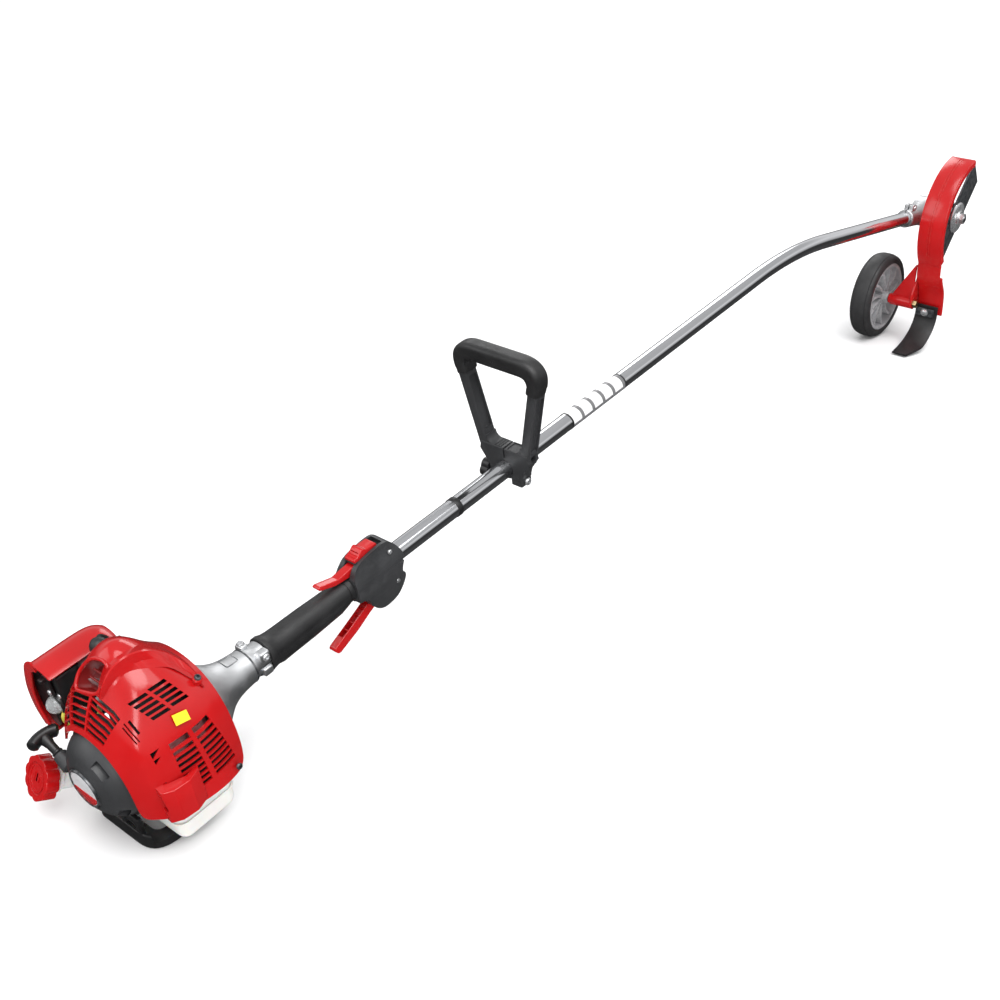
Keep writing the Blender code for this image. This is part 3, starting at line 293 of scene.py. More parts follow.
def done(o, look, body, *nodes, at=ENGINE, angle=32, slot=None):
    """Finish a piece: its place in the row frame, its material, its body, what it stands for."""
    if o.modifiers:
        bake(o)
    if o.matrix_basis != Matrix.Identity(4):
        o.data.transform(o.matrix_basis)
        o.matrix_basis = Matrix.Identity(4)
    o.data.transform(at)
    o.data.materials.clear()
    o.data.materials.append(MAT[look] if isinstance(look, str) else look)
    o.data.shade_smooth()
    o.data.set_sharp_from_angle(angle=radians(angle))
    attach(o, body)
    if nodes:
        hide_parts(*nodes)
    return o


def merge(name, *objs):
    """One loose object from several, their modifiers applied."""
    bm = bmesh.new()
    for o in objs:
        if o.modifiers:
            bake(o)
        me = o.data.copy()
        me.transform(o.matrix_basis)
        bm.from_mesh(me)
        bpy.data.objects.remove(o, do_unlink=True)
    return loose(name, bm)


def towards(axis):
    return Vector(axis).normalized().to_track_quat('Z', 'Y').to_matrix().to_4x4()


def place(at, axis):
    return Matrix.Translation(Vector(at) * MM) @ towards(axis)


def lathe(name, profile, at=(0, 0, 0), axis=(1, 0, 0), steps=64, closed=False, wave=None):
    """Turn (distance, radius) points about an axis. closed joins the last point to the first."""
    m = place(at, axis)
    bm = bmesh.new()
    rings = []
    for h, r in profile:
        if r <= 1e-6:
            rings.append([bm.verts.new(m @ Vector((0, 0, h * MM)))])
            continue
        rings.append([bm.verts.new(m @ Vector((r * MM * cos(a) * (wave(a, h) if wave else 1),
            r * MM * sin(a) * (wave(a, h) if wave else 1), h * MM)))
            for a in [2 * pi * i / steps for i in range(steps)]])
    pairs = list(zip(rings, rings[1:])) + ([(rings[-1], rings[0])] if closed else [])
    for a, b in pairs:
        if len(a) == len(b) > 1:
            band(bm, a, b)
        elif len(a) != len(b):
            for i in range(steps):
                j = (i + 1) % steps
                bm.faces.new((a[0], b[j], b[i]) if len(a) == 1 else (a[i], a[j], b[0]))
    return raw(name, bm)


def rod(name, a, b, r, r2=None, sides=32, edge=0.4):
    """A cylinder or cone with slightly broken edges."""
    a, b = Vector(a), Vector(b)
    d = (b - a).length
    r2 = r if r2 is None else r2
    e = min(edge, r * 0.4, r2 * 0.4, d * 0.3)
    return lathe(name, [(0, 0), (0, r - e), (e, r), (d - e, r2), (d, r2 - e), (d, 0)], a, b - a,
        sides)


def box(name, lo, hi, width=0.6, seg=2):
    lo, hi = Vector(lo), Vector(hi)
    bm = bmesh.new()
    bmesh.ops.create_cube(bm, size=1.0, matrix=Matrix.Translation((lo + hi) / 2 * MM)
        @ Matrix.Diagonal((*((hi - lo) * MM), 1)))
    o = raw(name, bm)
    return bake(soft(o, width, seg)) if width else o


def band(bm, a, b, closed=True):
    """Faces between two rings of as many points."""
    for i in range(len(a) if closed else len(a) - 1):
        j = (i + 1) % len(a)
        bm.faces.new((a[i], a[j], b[j], b[i]))


def slab(bm, a, b):
    """Two rings, the faces between them, and a face on each."""
    bm.faces.new(a)
    bm.faces.new(b)
    band(bm, a, b)


PLANES = {"XZ": Matrix(((1, 0, 0, 0), (0, 0, -1, 0), (0, 1, 0, 0), (0, 0, 0, 1))),
    "YZ": Matrix(((0, 0, 1, 0), (1, 0, 0, 0), (0, 1, 0, 0), (0, 0, 0, 1))),
    "XY": Matrix.Identity(4)}


def prism(name, outline, lo, hi, plane="XZ", width=0.0, seg=2, at=None):
    """A flat outline made thick from lo to hi along the plane's normal (Y for XZ, X for YZ)."""
    m = at if at is not None else PLANES[plane]
    if plane == "XZ" and at is None:
        lo, hi = -hi, -lo
    bm = bmesh.new()
    slab(bm, *[[bm.verts.new(m @ (Vector((p[0], p[1], h)) * MM)) for p in outline]
        for h in (lo, hi)])
    o = raw(name, bm)
    return bake(soft(o, width, seg)) if width else o


def prisms(name, loops, depth):
    """One cutter of several prisms, each a loop of points in space pushed both ways along its
    own normal."""
    bm = bmesh.new()
    for loop in loops:
        pts = [Vector(p) * MM for p in loop]
        nrm = Vector()
        for i in range(len(pts)):
            nrm += (pts[i] - pts[0]).cross(pts[(i + 1) % len(pts)] - pts[0])
        nrm.normalize()
        slab(bm, *[[bm.verts.new(p + nrm * d) for p in pts] for d in (-depth * MM, depth * MM)])
    return raw(name, bm)


def smooth(path, n=6, cyclic=False):
    """Points on a Catmull-Rom curve through the path."""
    p = [Vector(q) for q in path]
    out = []
    m = len(p)
    for i in range(m if cyclic else m - 1):
        if cyclic:
            a, b, c, d = p[i - 1], p[i], p[(i + 1) % m], p[(i + 2) % m]
        else:
            a, b, c, d = p[max(i - 1, 0)], p[i], p[i + 1], p[min(i + 2, m - 1)]
        for k in range(n):
            t = k / n
            out.append(0.5 * ((2 * b) + (c - a) * t + (2 * a - 5 * b + 4 * c - d) * t * t
                + (3 * b - a - 3 * c + d) * t ** 3))
    if not cyclic:
        out.append(p[-1])
    return out


def curve(points, n, cyclic=False):
    """The same for flat points."""
    return [tuple(p)[:2] for p in smooth([(*q, 0) for q in points], n, cyclic)]


def circle(r, n=24):
    return [(r * cos(2 * pi * i / n), r * sin(2 * pi * i / n)) for i in range(n)]


def arc(r, a0, a1, n, at=(0, 0)):
    """Points on a part of a circle, from a0 to a1 degrees."""
    return [(at[0] + r * cos(radians(a0 + (a1 - a0) * i / n)),
        at[1] + r * sin(radians(a0 + (a1 - a0) * i / n))) for i in range(n + 1)]


def sweep(name, path, section, up=(0, 0, 1), scale=None, closed=False):
    """Carry a section (x, y) along a path; x points to the side and y along the up direction."""
    pts = [Vector(p) for p in path]
    bm = bmesh.new()
    rings = []
    n = len(pts)
    ref = Vector(up)
    for i, p in enumerate(pts):
        if closed:
            d = (pts[(i + 1) % n] - pts[i - 1]).normalized()
        else:
            d = (pts[min(i + 1, n - 1)] - pts[max(i - 1, 0)]).normalized()
        side = d.cross(ref).normalized()
        ref = side.cross(d).normalized()
        sx, sy = scale(i / (n - 1)) if scale else (1.0, 1.0)
        rings.append([bm.verts.new((p + side * x * sx + ref * y * sy) * MM) for x, y in section])
    for a, b in list(zip(rings, rings[1:])) + ([(rings[-1], rings[0])] if closed else []):
        band(bm, a, b)
    if not closed:
        bm.faces.new(rings[0])
        bm.faces.new(rings[-1])
    return raw(name, bm)


def hose(name, path, r, n=6, sides=20):
    up = (0, 0, 1)
    d = Vector(path[1]) - Vector(path[0])
    if abs(d.normalized().z) > 0.9:
        up = (0, 1, 0)
    return sweep(name, smooth(path, n), circle(r, sides), up=up)


def outwards(o, centre):
    """Turn an open sheet so that its faces look away from a point."""
    if sum(p.normal.dot(p.center - Vector(centre)) for p in o.data.polygons) < 0:
        o.data.flip_normals()


def surface(name, rows, wrap=False):
    bm = bmesh.new()
    vs = [[bm.verts.new(Vector(p) * MM) for p in row] for row in rows]
    for r0, r1 in zip(vs, vs[1:]):
        band(bm, r0, r1, wrap)
    return raw(name, bm)


def rounded(points, radius, n=6):
    """Round the corners of a polygon of (x, y[, radius]) points."""
    out = []
    m = len(points)
    for i, p in enumerate(points):
        r = p[2] if len(p) > 2 else radius
        a, b, c = Vector(points[i - 1][:2]), Vector(p[:2]), Vector(points[(i + 1) % m][:2])
        u, v = (a - b).normalized(), (c - b).normalized()
        half = u.angle(v) / 2
        if r <= 0 or half > 1.5:
            out.append(tuple(b))
            continue
        reach = min(r / max(0.05, abs(sin(half) / cos(half))), (a - b).length * .48,
            (c - b).length * .48)
        p0, p1 = b + u * reach, b + v * reach
        for k in range(n):
            t = k / (n - 1)
            out.append(tuple(p0.lerp(b, t).lerp(b.lerp(p1, t), t)))
    return out


def ribbon(path, half):
    left, right = [], []
    for i, p in enumerate(path):
        a, b = Vector(path[max(i - 1, 0)]), Vector(path[min(i + 1, len(path) - 1)])
        d = (b - a).normalized()
        n = Vector((-d.y, d.x))
        left.append(tuple(Vector(p) + n * half))
        right.append(tuple(Vector(p) - n * half))
    return left + right[::-1]


def lobes(r_out, r_in, n, steps=240):
    """A smooth lobed outline."""
    out = []
    for i in range(steps):
        a = 2 * pi * i / steps
        r = r_in + (r_out - r_in) * (0.5 + 0.5 * cos(n * a)) ** 0.5
        out.append((r * cos(a), r * sin(a)))
    return out


def screw(name, at, axis, r=3.2, drive="cross"):
    """A pan-head screw with a recess in its head."""
    h = r * 0.55
    o = lathe(name, [(-1.5, 0), (-1.5, r * .7), (0, r * .7), (0, r), (h * .5, r * .96),
        (h * .85, r * .8), (h, r * .5), (h, 0)], at, axis, 28)
    m = place(at, axis)
    if drive == "cross":
        t = [(-r * .55, -r * .12), (r * .55, -r * .12), (r * .55, r * .12), (-r * .55, r * .12)]
        a = prism(name + "_a", t, h * .35, h + 2, at=m)
        b = prism(name + "_b", [(y, x) for x, y in t], h * .3, h + 2.2, at=m)
        return cut(o, a, b)
    return cut(o, prism(name + "_a", circle(r * .5, 6), h * .2, h + 2, at=m))


def hexagon(name, a, b, r):
    """A hexagon head or nut with turned-down corners."""
    a, b = Vector(a), Vector(b)
    d = (b - a).length
    o = prism(name, circle(r, 6), 0, d, at=place(a, b - a))
    c = lathe(name + "_chamfer", [(-1, 0), (-1, r * .8), (0, r * .9), (d * .12, r * 1.02),
        (d * .88, r * 1.02), (d, r * .9), (d + 1, r * .8), (d + 1, 0)], a, b - a, 48)
    return cut(o, c, how='INTERSECT')


def screws(name, spots, r, drive="hex", look="zinc", at=ENGINE):
    """A numbered screw at each (position, axis) pair."""
    for i, (where, axis) in enumerate(spots):
        done(screw(f"{name}_{i}", where, axis, r, drive), look, "frame", at=at)


# ---- stage ------------------------------------------------------------------------------
def stage():
    bm = bmesh.new()
    bmesh.ops.create_grid(bm, x_segments=1, y_segments=1, size=9.0)
    floor = raw("floor", bm)
    floor.location = (0.8, 0, -0.0006)
    m = bpy.data.materials.new("studio_floor")
    m.use_nodes = True
    p = m.node_tree.nodes["Principled BSDF"].inputs
    p["Base Color"].default_value = (0.93, 0.93, 0.932, 1)
    p["Roughness"].default_value = 0.7
    floor.data.materials.append(m)
    floor.visible_glossy = False
    floor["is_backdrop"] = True

    world = bpy.data.worlds.new("studio")
    scene.world = world
    world.use_nodes = True
    t = world.node_tree
    n, link = t.nodes, t.links.new
    xyz = n.new("ShaderNodeSeparateXYZ")
    link(n.new("ShaderNodeTexCoord").outputs["Generated"], xyz.inputs["Vector"])
    ramp = n.new("ShaderNodeMapRange")
    ramp.inputs["From Min"].default_value = -1.0
    ramp.inputs["From Max"].default_value = 1.0
    link(xyz.outputs["Z"], ramp.inputs["Value"])
    tone = n.new("ShaderNodeValToRGB")
    stops = [(0.0, 0.10), (0.40, 0.05), (0.49, 0.06), (0.53, 0.45), (0.66, 0.95), (0.74, 0.6),
        (0.86, 0.6), (1.0, 0.68)]
    e = tone.color_ramp.elements
    while len(e) < len(stops):
        e.new(0.5)
    for el, (at, v) in zip(e, stops):
        el.position = at
        el.color = (v, v, v * 1.01, 1)
    link(ramp.outputs["Result"], tone.inputs["Fac"])
    link(tone.outputs["Color"], n["Background"].inputs["Color"])
    n["Background"].inputs["Strength"].default_value = 0.85

    def area(name, at, aim, size, power, tint=(1, 1, 1)):
        d = bpy.data.lights.new(name, 'AREA')
        d.shape = 'RECTANGLE'
        d.size, d.size_y = size
        d.energy = power
        d.color = tint
        o = linked(name, d)
        o.location = at
        o.rotation_euler = (Vector(aim) - Vector(at)).to_track_quat('-Z', 'Y').to_euler()
        o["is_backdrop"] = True

    area("key_soft", (0.2, -1.4, 2.6), (0.6, 0, 0.1), (3.2, 1.6), 32)
    area("fill_left", (-1.6, 1.6, 1.8), (0.2, 0, 0.1), (1.8, 1.8), 15)
    area("rim_far", (2.9, 1.6, 1.8), (1.3, 0, 0.1), (1.8, 1.2), 19)
    area("front_strip", (-1.7, -1.6, 1.1), (0.0, 0, 0.12), (0.35, 1.5), 9)

    d = bpy.data.lights.new("wide", 'SUN')
    d.energy = 2.1
    d.angle = 0.9
    o = linked("wide", d)
    o.rotation_euler = Vector((0.25, 0.35, -1.0)).to_track_quat('-Z', 'Y').to_euler()
    o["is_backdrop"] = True

    # the camera that was fitted to the photo
    yaw, pitch, roll = radians(40.6795), radians(29.6345), radians(0.4968)
    fwd = Vector((cos(yaw) * cos(pitch), sin(yaw) * cos(pitch), -sin(pitch)))
    right = Vector((sin(yaw), -cos(yaw), 0))
    down = fwd.cross(right)
    r2 = cos(roll) * right + sin(roll) * down
    d2 = -sin(roll) * right + cos(roll) * down
    cd = bpy.data.cameras.new("camera")
    cd.sensor_width = 36
    cd.lens = 47.564
    cd.clip_start = 0.02
    cam = linked("camera", cd)
    m = Matrix((r2, -d2, -fwd)).transposed().to_4x4()
    m.translation = (-0.4979, -0.8913, 0.9162)
    cam.matrix_world = m
    scene.camera = cam
    scene.view_settings.view_transform = 'Standard'
    scene.view_settings.exposure = 0.0


def carried():
    """The CAD nodes that stay get materials of the same quality."""
    for s in frame["record"]["subparts"]:
        o = frame["nodes"][s["node"]]
        o.data.materials.clear()
        o.data.materials.append(MAT[LOOKS[s["material_slot"]]])


# ---- tube -------------------------------------------------------------------------------
# the tube's radius, its height at the engine's origin, where its straight part ends, its bend
TUBE_R, TUBE_Z, STRAIGHT_END, BEND, BEND_RADIUS = 11.0, 122.3, 935, radians(15.1), 760


def tube_path(start, end):
    """The tube's centre line in the GROUND frame, from start along it to x = end."""
    e = Vector((cos(TILT), 0, sin(TILT)))
    base = Vector((0, 0, TUBE_Z))
    s = STRAIGHT_END / cos(TILT)
    pts = [base + e * (start + (s - start) * i / 8) for i in range(9)]
    for i in range(1, 31):
        c = TILT - BEND * (i - 0.5) / 30
        pts.append(pts[-1] + Vector((cos(c), 0, sin(c))) * (BEND_RADIUS * BEND / 30))
    last = Vector((cos(TILT - BEND), 0, sin(TILT - BEND)))
    pts.append(pts[-1] + last * ((end - pts[-1].x) / last.x))
    return pts


def drive_tube():
    path = tube_path(-36, 1490)
    t = sweep("drive_tube", path, circle(TUBE_R, 72))
    bore = sweep("tube_bore", [path[0] * 2 - path[1]] + path[1:-1] + [path[-1] * 2 - path[-2]],
        circle(9.4, 36))
    cut(t, bore)
    done(t, "chrome", "frame", "shaft_tube", at=GROUND)
    ring = lathe("tube_ring", [(290.5, 11.05), (290.5, 11.5), (291, 11.7), (297.5, 11.7),
        (298, 11.5), (298, 11.05)], closed=True)
    done(ring, "black", "frame")
    # a clear film with plain light fields
    bm = bmesh.new()
    uv = bm.loops.layers.uv.new("UVMap")
    n, m = 54, 36
    a0, a1 = radians(-40), radians(200)
    g = [[bm.verts.new(Vector((505 + 107 * i / n, -11.14 * cos(a0 + (a1 - a0) * j / m),
        11.14 * sin(a0 + (a1 - a0) * j / m))) * MM) for j in range(m + 1)] for i in range(n + 1)]
    for i in range(n):
        for j in range(m):
            f = bm.faces.new((g[i][j], g[i + 1][j], g[i + 1][j + 1], g[i][j + 1]))
            for loop, (a, b) in zip(f.loops, ((i, j), (i + 1, j), (i + 1, j + 1), (i, j + 1))):
                loop[uv].uv = (a / n, b / m)
    film = raw("tube_film", bm)
    mod(film, 'SOLIDIFY', thickness=0.08 * MM, offset=1.0)
    bake(film)
    done(film, banded("film_fields", (0.16, 0.16, 0.165), (0.86, 0.86, 0.86), 0.2, 0.74), "frame",
        slot="white_plastic")
    for i, x in enumerate((502.6, 611.6)):
        edge = lathe(f"film_edge_{i}", [(x, 11.05), (x, 11.3), (x + 2.4, 11.3), (x + 2.4, 11.05)],
            closed=True)
        done(edge, "black", "frame")


# ---- cast housing and clamp -------------------------------------------------------------
def housing():
    outer = [(-101, 54), (-101, 62.4), (-100.4, 63), (-94, 63), (-92.4, 62.2), (-90.2, 59.6),
        (-86, 53), (-82, 46), (-75, 38.8), (-67, 32.4), (-59, 27), (-51, 23.4), (-42, 21.1),
        (-32, 19.8), (-23.4, 19.1), (-22.6, 18.5), (-21.7, 18.4), (-21.7, 11.5)]
    line = curve(outer[3:15], 6)
    inner = [(-36, 11.5), (-37, 5.8), (-57.4, 5.8), (-57.4, 14.2), (-62, 26.5), (-81, 26.5),
        (-84, 28), (-86.4, 49), (-88, 52.4)]
    h = lathe("fan_housing_cast", outer[:3] + line + outer[15:] + inner, steps=128, closed=True)
    pocket = prism("pocket", rounded([(-48, -8), (-31.5, -6.6), (-31.5, 6.6), (-48, 8)], 2.4, 5),
        17.4, 30, "XY")
    cut(h, pocket)
    panel = lathe("panel", [(-50, 14), (-50, 22.6), (-42, 20.8), (-30, 19.2), (-30, 14)], steps=96,
        closed=True)
    cut(panel, prism("panel_edge", rounded([(-46.4, -6.2), (-33, -5.2), (-33, 5.2), (-46.4, 6.2)],
        1.6, 5), 8, 30, "XY"), how='INTERSECT')
    join(h, panel)
    done(h, "cast", "frame", "fan_housing")
    lugs = []
    for i in range(4):
        a = radians(52 + 90 * i)
        c = Vector((-96, 58.5 * cos(a), 58.5 * sin(a)))
        lugs.append(rod(f"housing_lug_{i}", c - Vector((4, 0, 0)), c + Vector((7, 0, 0)), 5, 4.2))
        s = screw(f"housing_screw_{i}", c + Vector((7.2, 0, 0)), (1, 0, 0), 3.2, "hex")
        done(s, "zinc", "frame")
    done(merge("housing_lugs", *lugs), "cast", "frame")
    seam = lathe("housing_seam", [(-22.5, 17.9), (-22.5, 19.5), (-21.3, 19.3), (-21.3, 17.9)],
        closed=True, steps=96)
    done(seam, "dark", "frame")

    c = lathe("tube_clamp", [(-21.1, 11.2), (-21.1, 17.0), (-20.4, 17.7), (-17.6, 17.4),
        (-15.4, 16.4), (-8, 16.2), (-2.4, 16.4), (-1.6, 15.6), (-1.6, 11.2)], closed=True,
        steps=80)
    join(c, box("clamp_side", (-14, -18.4, 4.4), (-2.2, -8, 16.4), 2.2, 4))
    join(c, box("clamp_low", (-14, -18.4, -13), (-2.2, -8, -3.2), 2.2, 4))
    join(c, box("clamp_top", (-20.4, 3.6, 10), (-10.6, 14.8, 19.4), 2.0, 4))
    cut(c, box("clamp_split", (-30, -30, -0.9), (5, -6, 0.9), 0),
        rod("clamp_eye", (-8, -12.5, -20), (-8, -12.5, 3), 2.2),
        rod("clamp_bore", (-40, 0, 0), (10, 0, 0), 11.25, sides=64))
    done(c, "cast", "frame", "shaft_clamp")
    screws("clamp_screw", (((-8, -18.4, 10.6), (0, -1, 0)), ((-15.5, 9.8, 19.4), (0, 0, 1))), 4.1)


# ---- rear grip and controls ---------------------------------------------------------------
def rear_grip():
    outer = [(-1, 11.5), (-1, 17.8), (-0.3, 18.5), (4.4, 18.5), (5.6, 18.0), (9, 16.9), (16, 16.1),
        (30, 15.8), (60, 15.5), (80, 14.9), (100, 14.3), (112, 14.0), (113.2, 14), (113.6, 13.2),
        (114.8, 13.2), (115.2, 14), (121.2, 14), (121.2, 11.5)]

    def belly(a, x):
        d = 5.2 * min(1, max(0, (x - 4) / 10)) * min(1, max(0, (117 - x) / 12))
        return 1 + d / 15.5 * max(0, -sin(a))

    g = lathe("rear_grip_rubber", outer, steps=112, closed=True, wave=belly)
    for x, w in ((16, 4.4), (42, 4)):
        join(g, box("clip", (x - w, -4.4, -22.8), (x + w, 4.4, -13), 1.4, 3))
    path = [(140, 8, -16.8), (126, 6, -17.5), (112, 4, -18.2), (60, 2, -19), (16, 0, -24),
        (2, 0, -26), (-10, 0, -26)]
    cut(g, hose("clip_bore", path, 2.5))
    done(g, "rubber", "frame", "rear_grip")
    c = hose("throttle_cable_sheath", path[1:6] + [(-16, 12, -27), (-44, 32, -22), (-76, 58, 0),
        (-92, 66, 30), (-104, 66, 60), (-110, 60, 74), (-116, 53, 76.5)], 2.15, 10)
    done(c, "rubber", "frame", "throttle_cable")


# side view of the control housing, and the front handle's corners with their radii
HOUSING = [(121.6, 14), (128, 25), (140, 31), (168, 34), (180, 30), (190, 17), (194, 3), (190, -8),
    (189, -14), (192, -20), (187, -34), (177, -44), (162, -47), (150, -42), (140, -31), (132, -17),
    (121.6, -14)]
LOOP = [(-27.9, 11, 0), (-58.6, 145.5, 20), (58.6, 145.5, 20), (27.9, 11, 0)]


def controls():
    shell = prism("control_shell", curve(HOUSING, 5), -17.1, 17.1, "XZ", 4.2, 6)
    join(shell, lathe("collar", [(121.7, 0), (121.7, 16.2), (122.6, 17.1), (130, 17.1),
        (134, 16.4), (148, 12), (148, 0)], steps=80))
    half = [(9.6, 42), (12.4, 24), (16, 9), (17.1, -2), (17.1, -15), (14.6, -32), (9, -52)]
    section = half + [(-y, z) for y, z in half[::-1]]
    cut(shell, prism("section", curve(section, 4, True), 100, 220, "YZ"), how='INTERSECT')
    trigger = prism("t_room", [(112, -15), (150, -13), (182, -13), (184, -30), (174, -39),
        (160, -43), (156, -60), (112, -60)], -6.2, 6.2)
    lever = prism("l_room", [(112, 12.5), (152, 12.5), (152, 24), (140, 44), (112, 44)], -6.2, 6.2)
    bed = box("s_room", (130.5, -8.3, 29), (173.6, 8.3, 50), 0)
    bore = rod("bore", (110, 0, 0), (210, 0, 0), 11.3, sides=64)
    room = hose("c_room", [(105, 4, -18.2), (126, 6, -17.5), (136, 7, -17)], 2.5)
    side = [rod("screw_room_a", (180, -20, -22), (180, -15.6, -22), 3.6),
        rod("screw_room_b", (176, -20, 20), (176, -15.6, 20), 3.6),
        rod("front_hole", (184, -20, 1), (200, -13, 0.5), 2.6)]
    cut(shell, trigger, lever, bed, bore, room, *side)
    for name, lo, hi, node in (("left", 0.16, 40, "control_housing_left"),
            ("right", -40, -0.16, "control_housing_right")):
        half = linked(f"control_shell_{name}", shell.data.copy())
        cut(half, box("half_room", (60, lo, -90), (240, hi, 90), 0), how='INTERSECT')
        done(half, "grey", "frame", node, angle=38)
    bpy.data.objects.remove(shell, do_unlink=True)
    screws("control_screw", [((x, -14.9, z), (0, -1, 0)) for x, z in ((180, -22), (176, 20))], 2.9,
        "cross")
    done(box("switch_bed", (131, -8, 29.2), (173, 8, 29.9), 0.2), "black", "frame")
    px, pz = 160, -29
    t = [(px + 6, pz + 3), (px - 6, pz + 4), (138, -34), (116, -44), (86, -57), (84, -60),
        (89, -66.6), (92, -67), (122, -56), (142, -46), (154, -41), (px + 6, pz - 6)]
    o = prism("trigger_lever", rounded(t, 3, 6), -5.0, 5.0, "XZ", 1.3, 4)
    cut(o, prism("trigger_hollow", rounded([(150, -35), (139, -36), (118, -45.5), (100, -53),
        (103, -58), (122, -51.5), (142, -43), (151, -40)], 1, 3), -3.6, 3.6, "XZ"),
        rod("trigger_eye", (px, -9, pz), (px, 9, pz), 2.2))
    cut(o, box("trigger_gate", (99, -3.6, -56), (146, 3.6, -30), 0))
    for i in range(4):
        x = 108 + 9 * i
        join(o, box(f"trigger_rib_{i}", (x, -4, -53.6 + 4.4 * i), (x + 1.2, 4, -48.6 + 4.0 * i),
            0))
    done(o, "red", "trigger", "throttle_trigger")
    lx, lz = 141, 19.5
    k = [(81, 28.6), (83, 25.4), (104, 18), (124, 15.8), (lx + 5, 14.4), (lx + 7, 19.5),
        (lx - 1, 27), (128, 25.5), (108, 23.4), (92, 28), (84, 30.2)]
    o = prism("lockout_tongue", rounded(k, 2.4, 6), -5.2, 5.2, "XZ", 1.2, 4)
    cut(o, rod("lockout_eye", (lx, -9, lz), (lx, 9, lz), 1.7))
    done(o, "red", "lockout", "lockout_lever")
    s = [(132, 29.5), (132, 33), (139, 35.4), (144.5, 39.6), (147, 40), (151, 37.2), (164.5, 36.6),
        (166, 35.4), (166, 29.5)]
    o = prism("switch_rocker", rounded(s, 1.3, 5), -7.7, 7.7, "XZ", 0.9, 3)
    for i in range(3):
        cut(o, box(f"switch_groove_{i}", (134.4 + 3.0 * i, -5.6, 33.6 + i),
            (135.5 + 3.0 * i, 5.6, 44), 0))
    done(o, "red", "switch", "stop_switch")


# ---- front handle ---------------------------------------------------------------------------


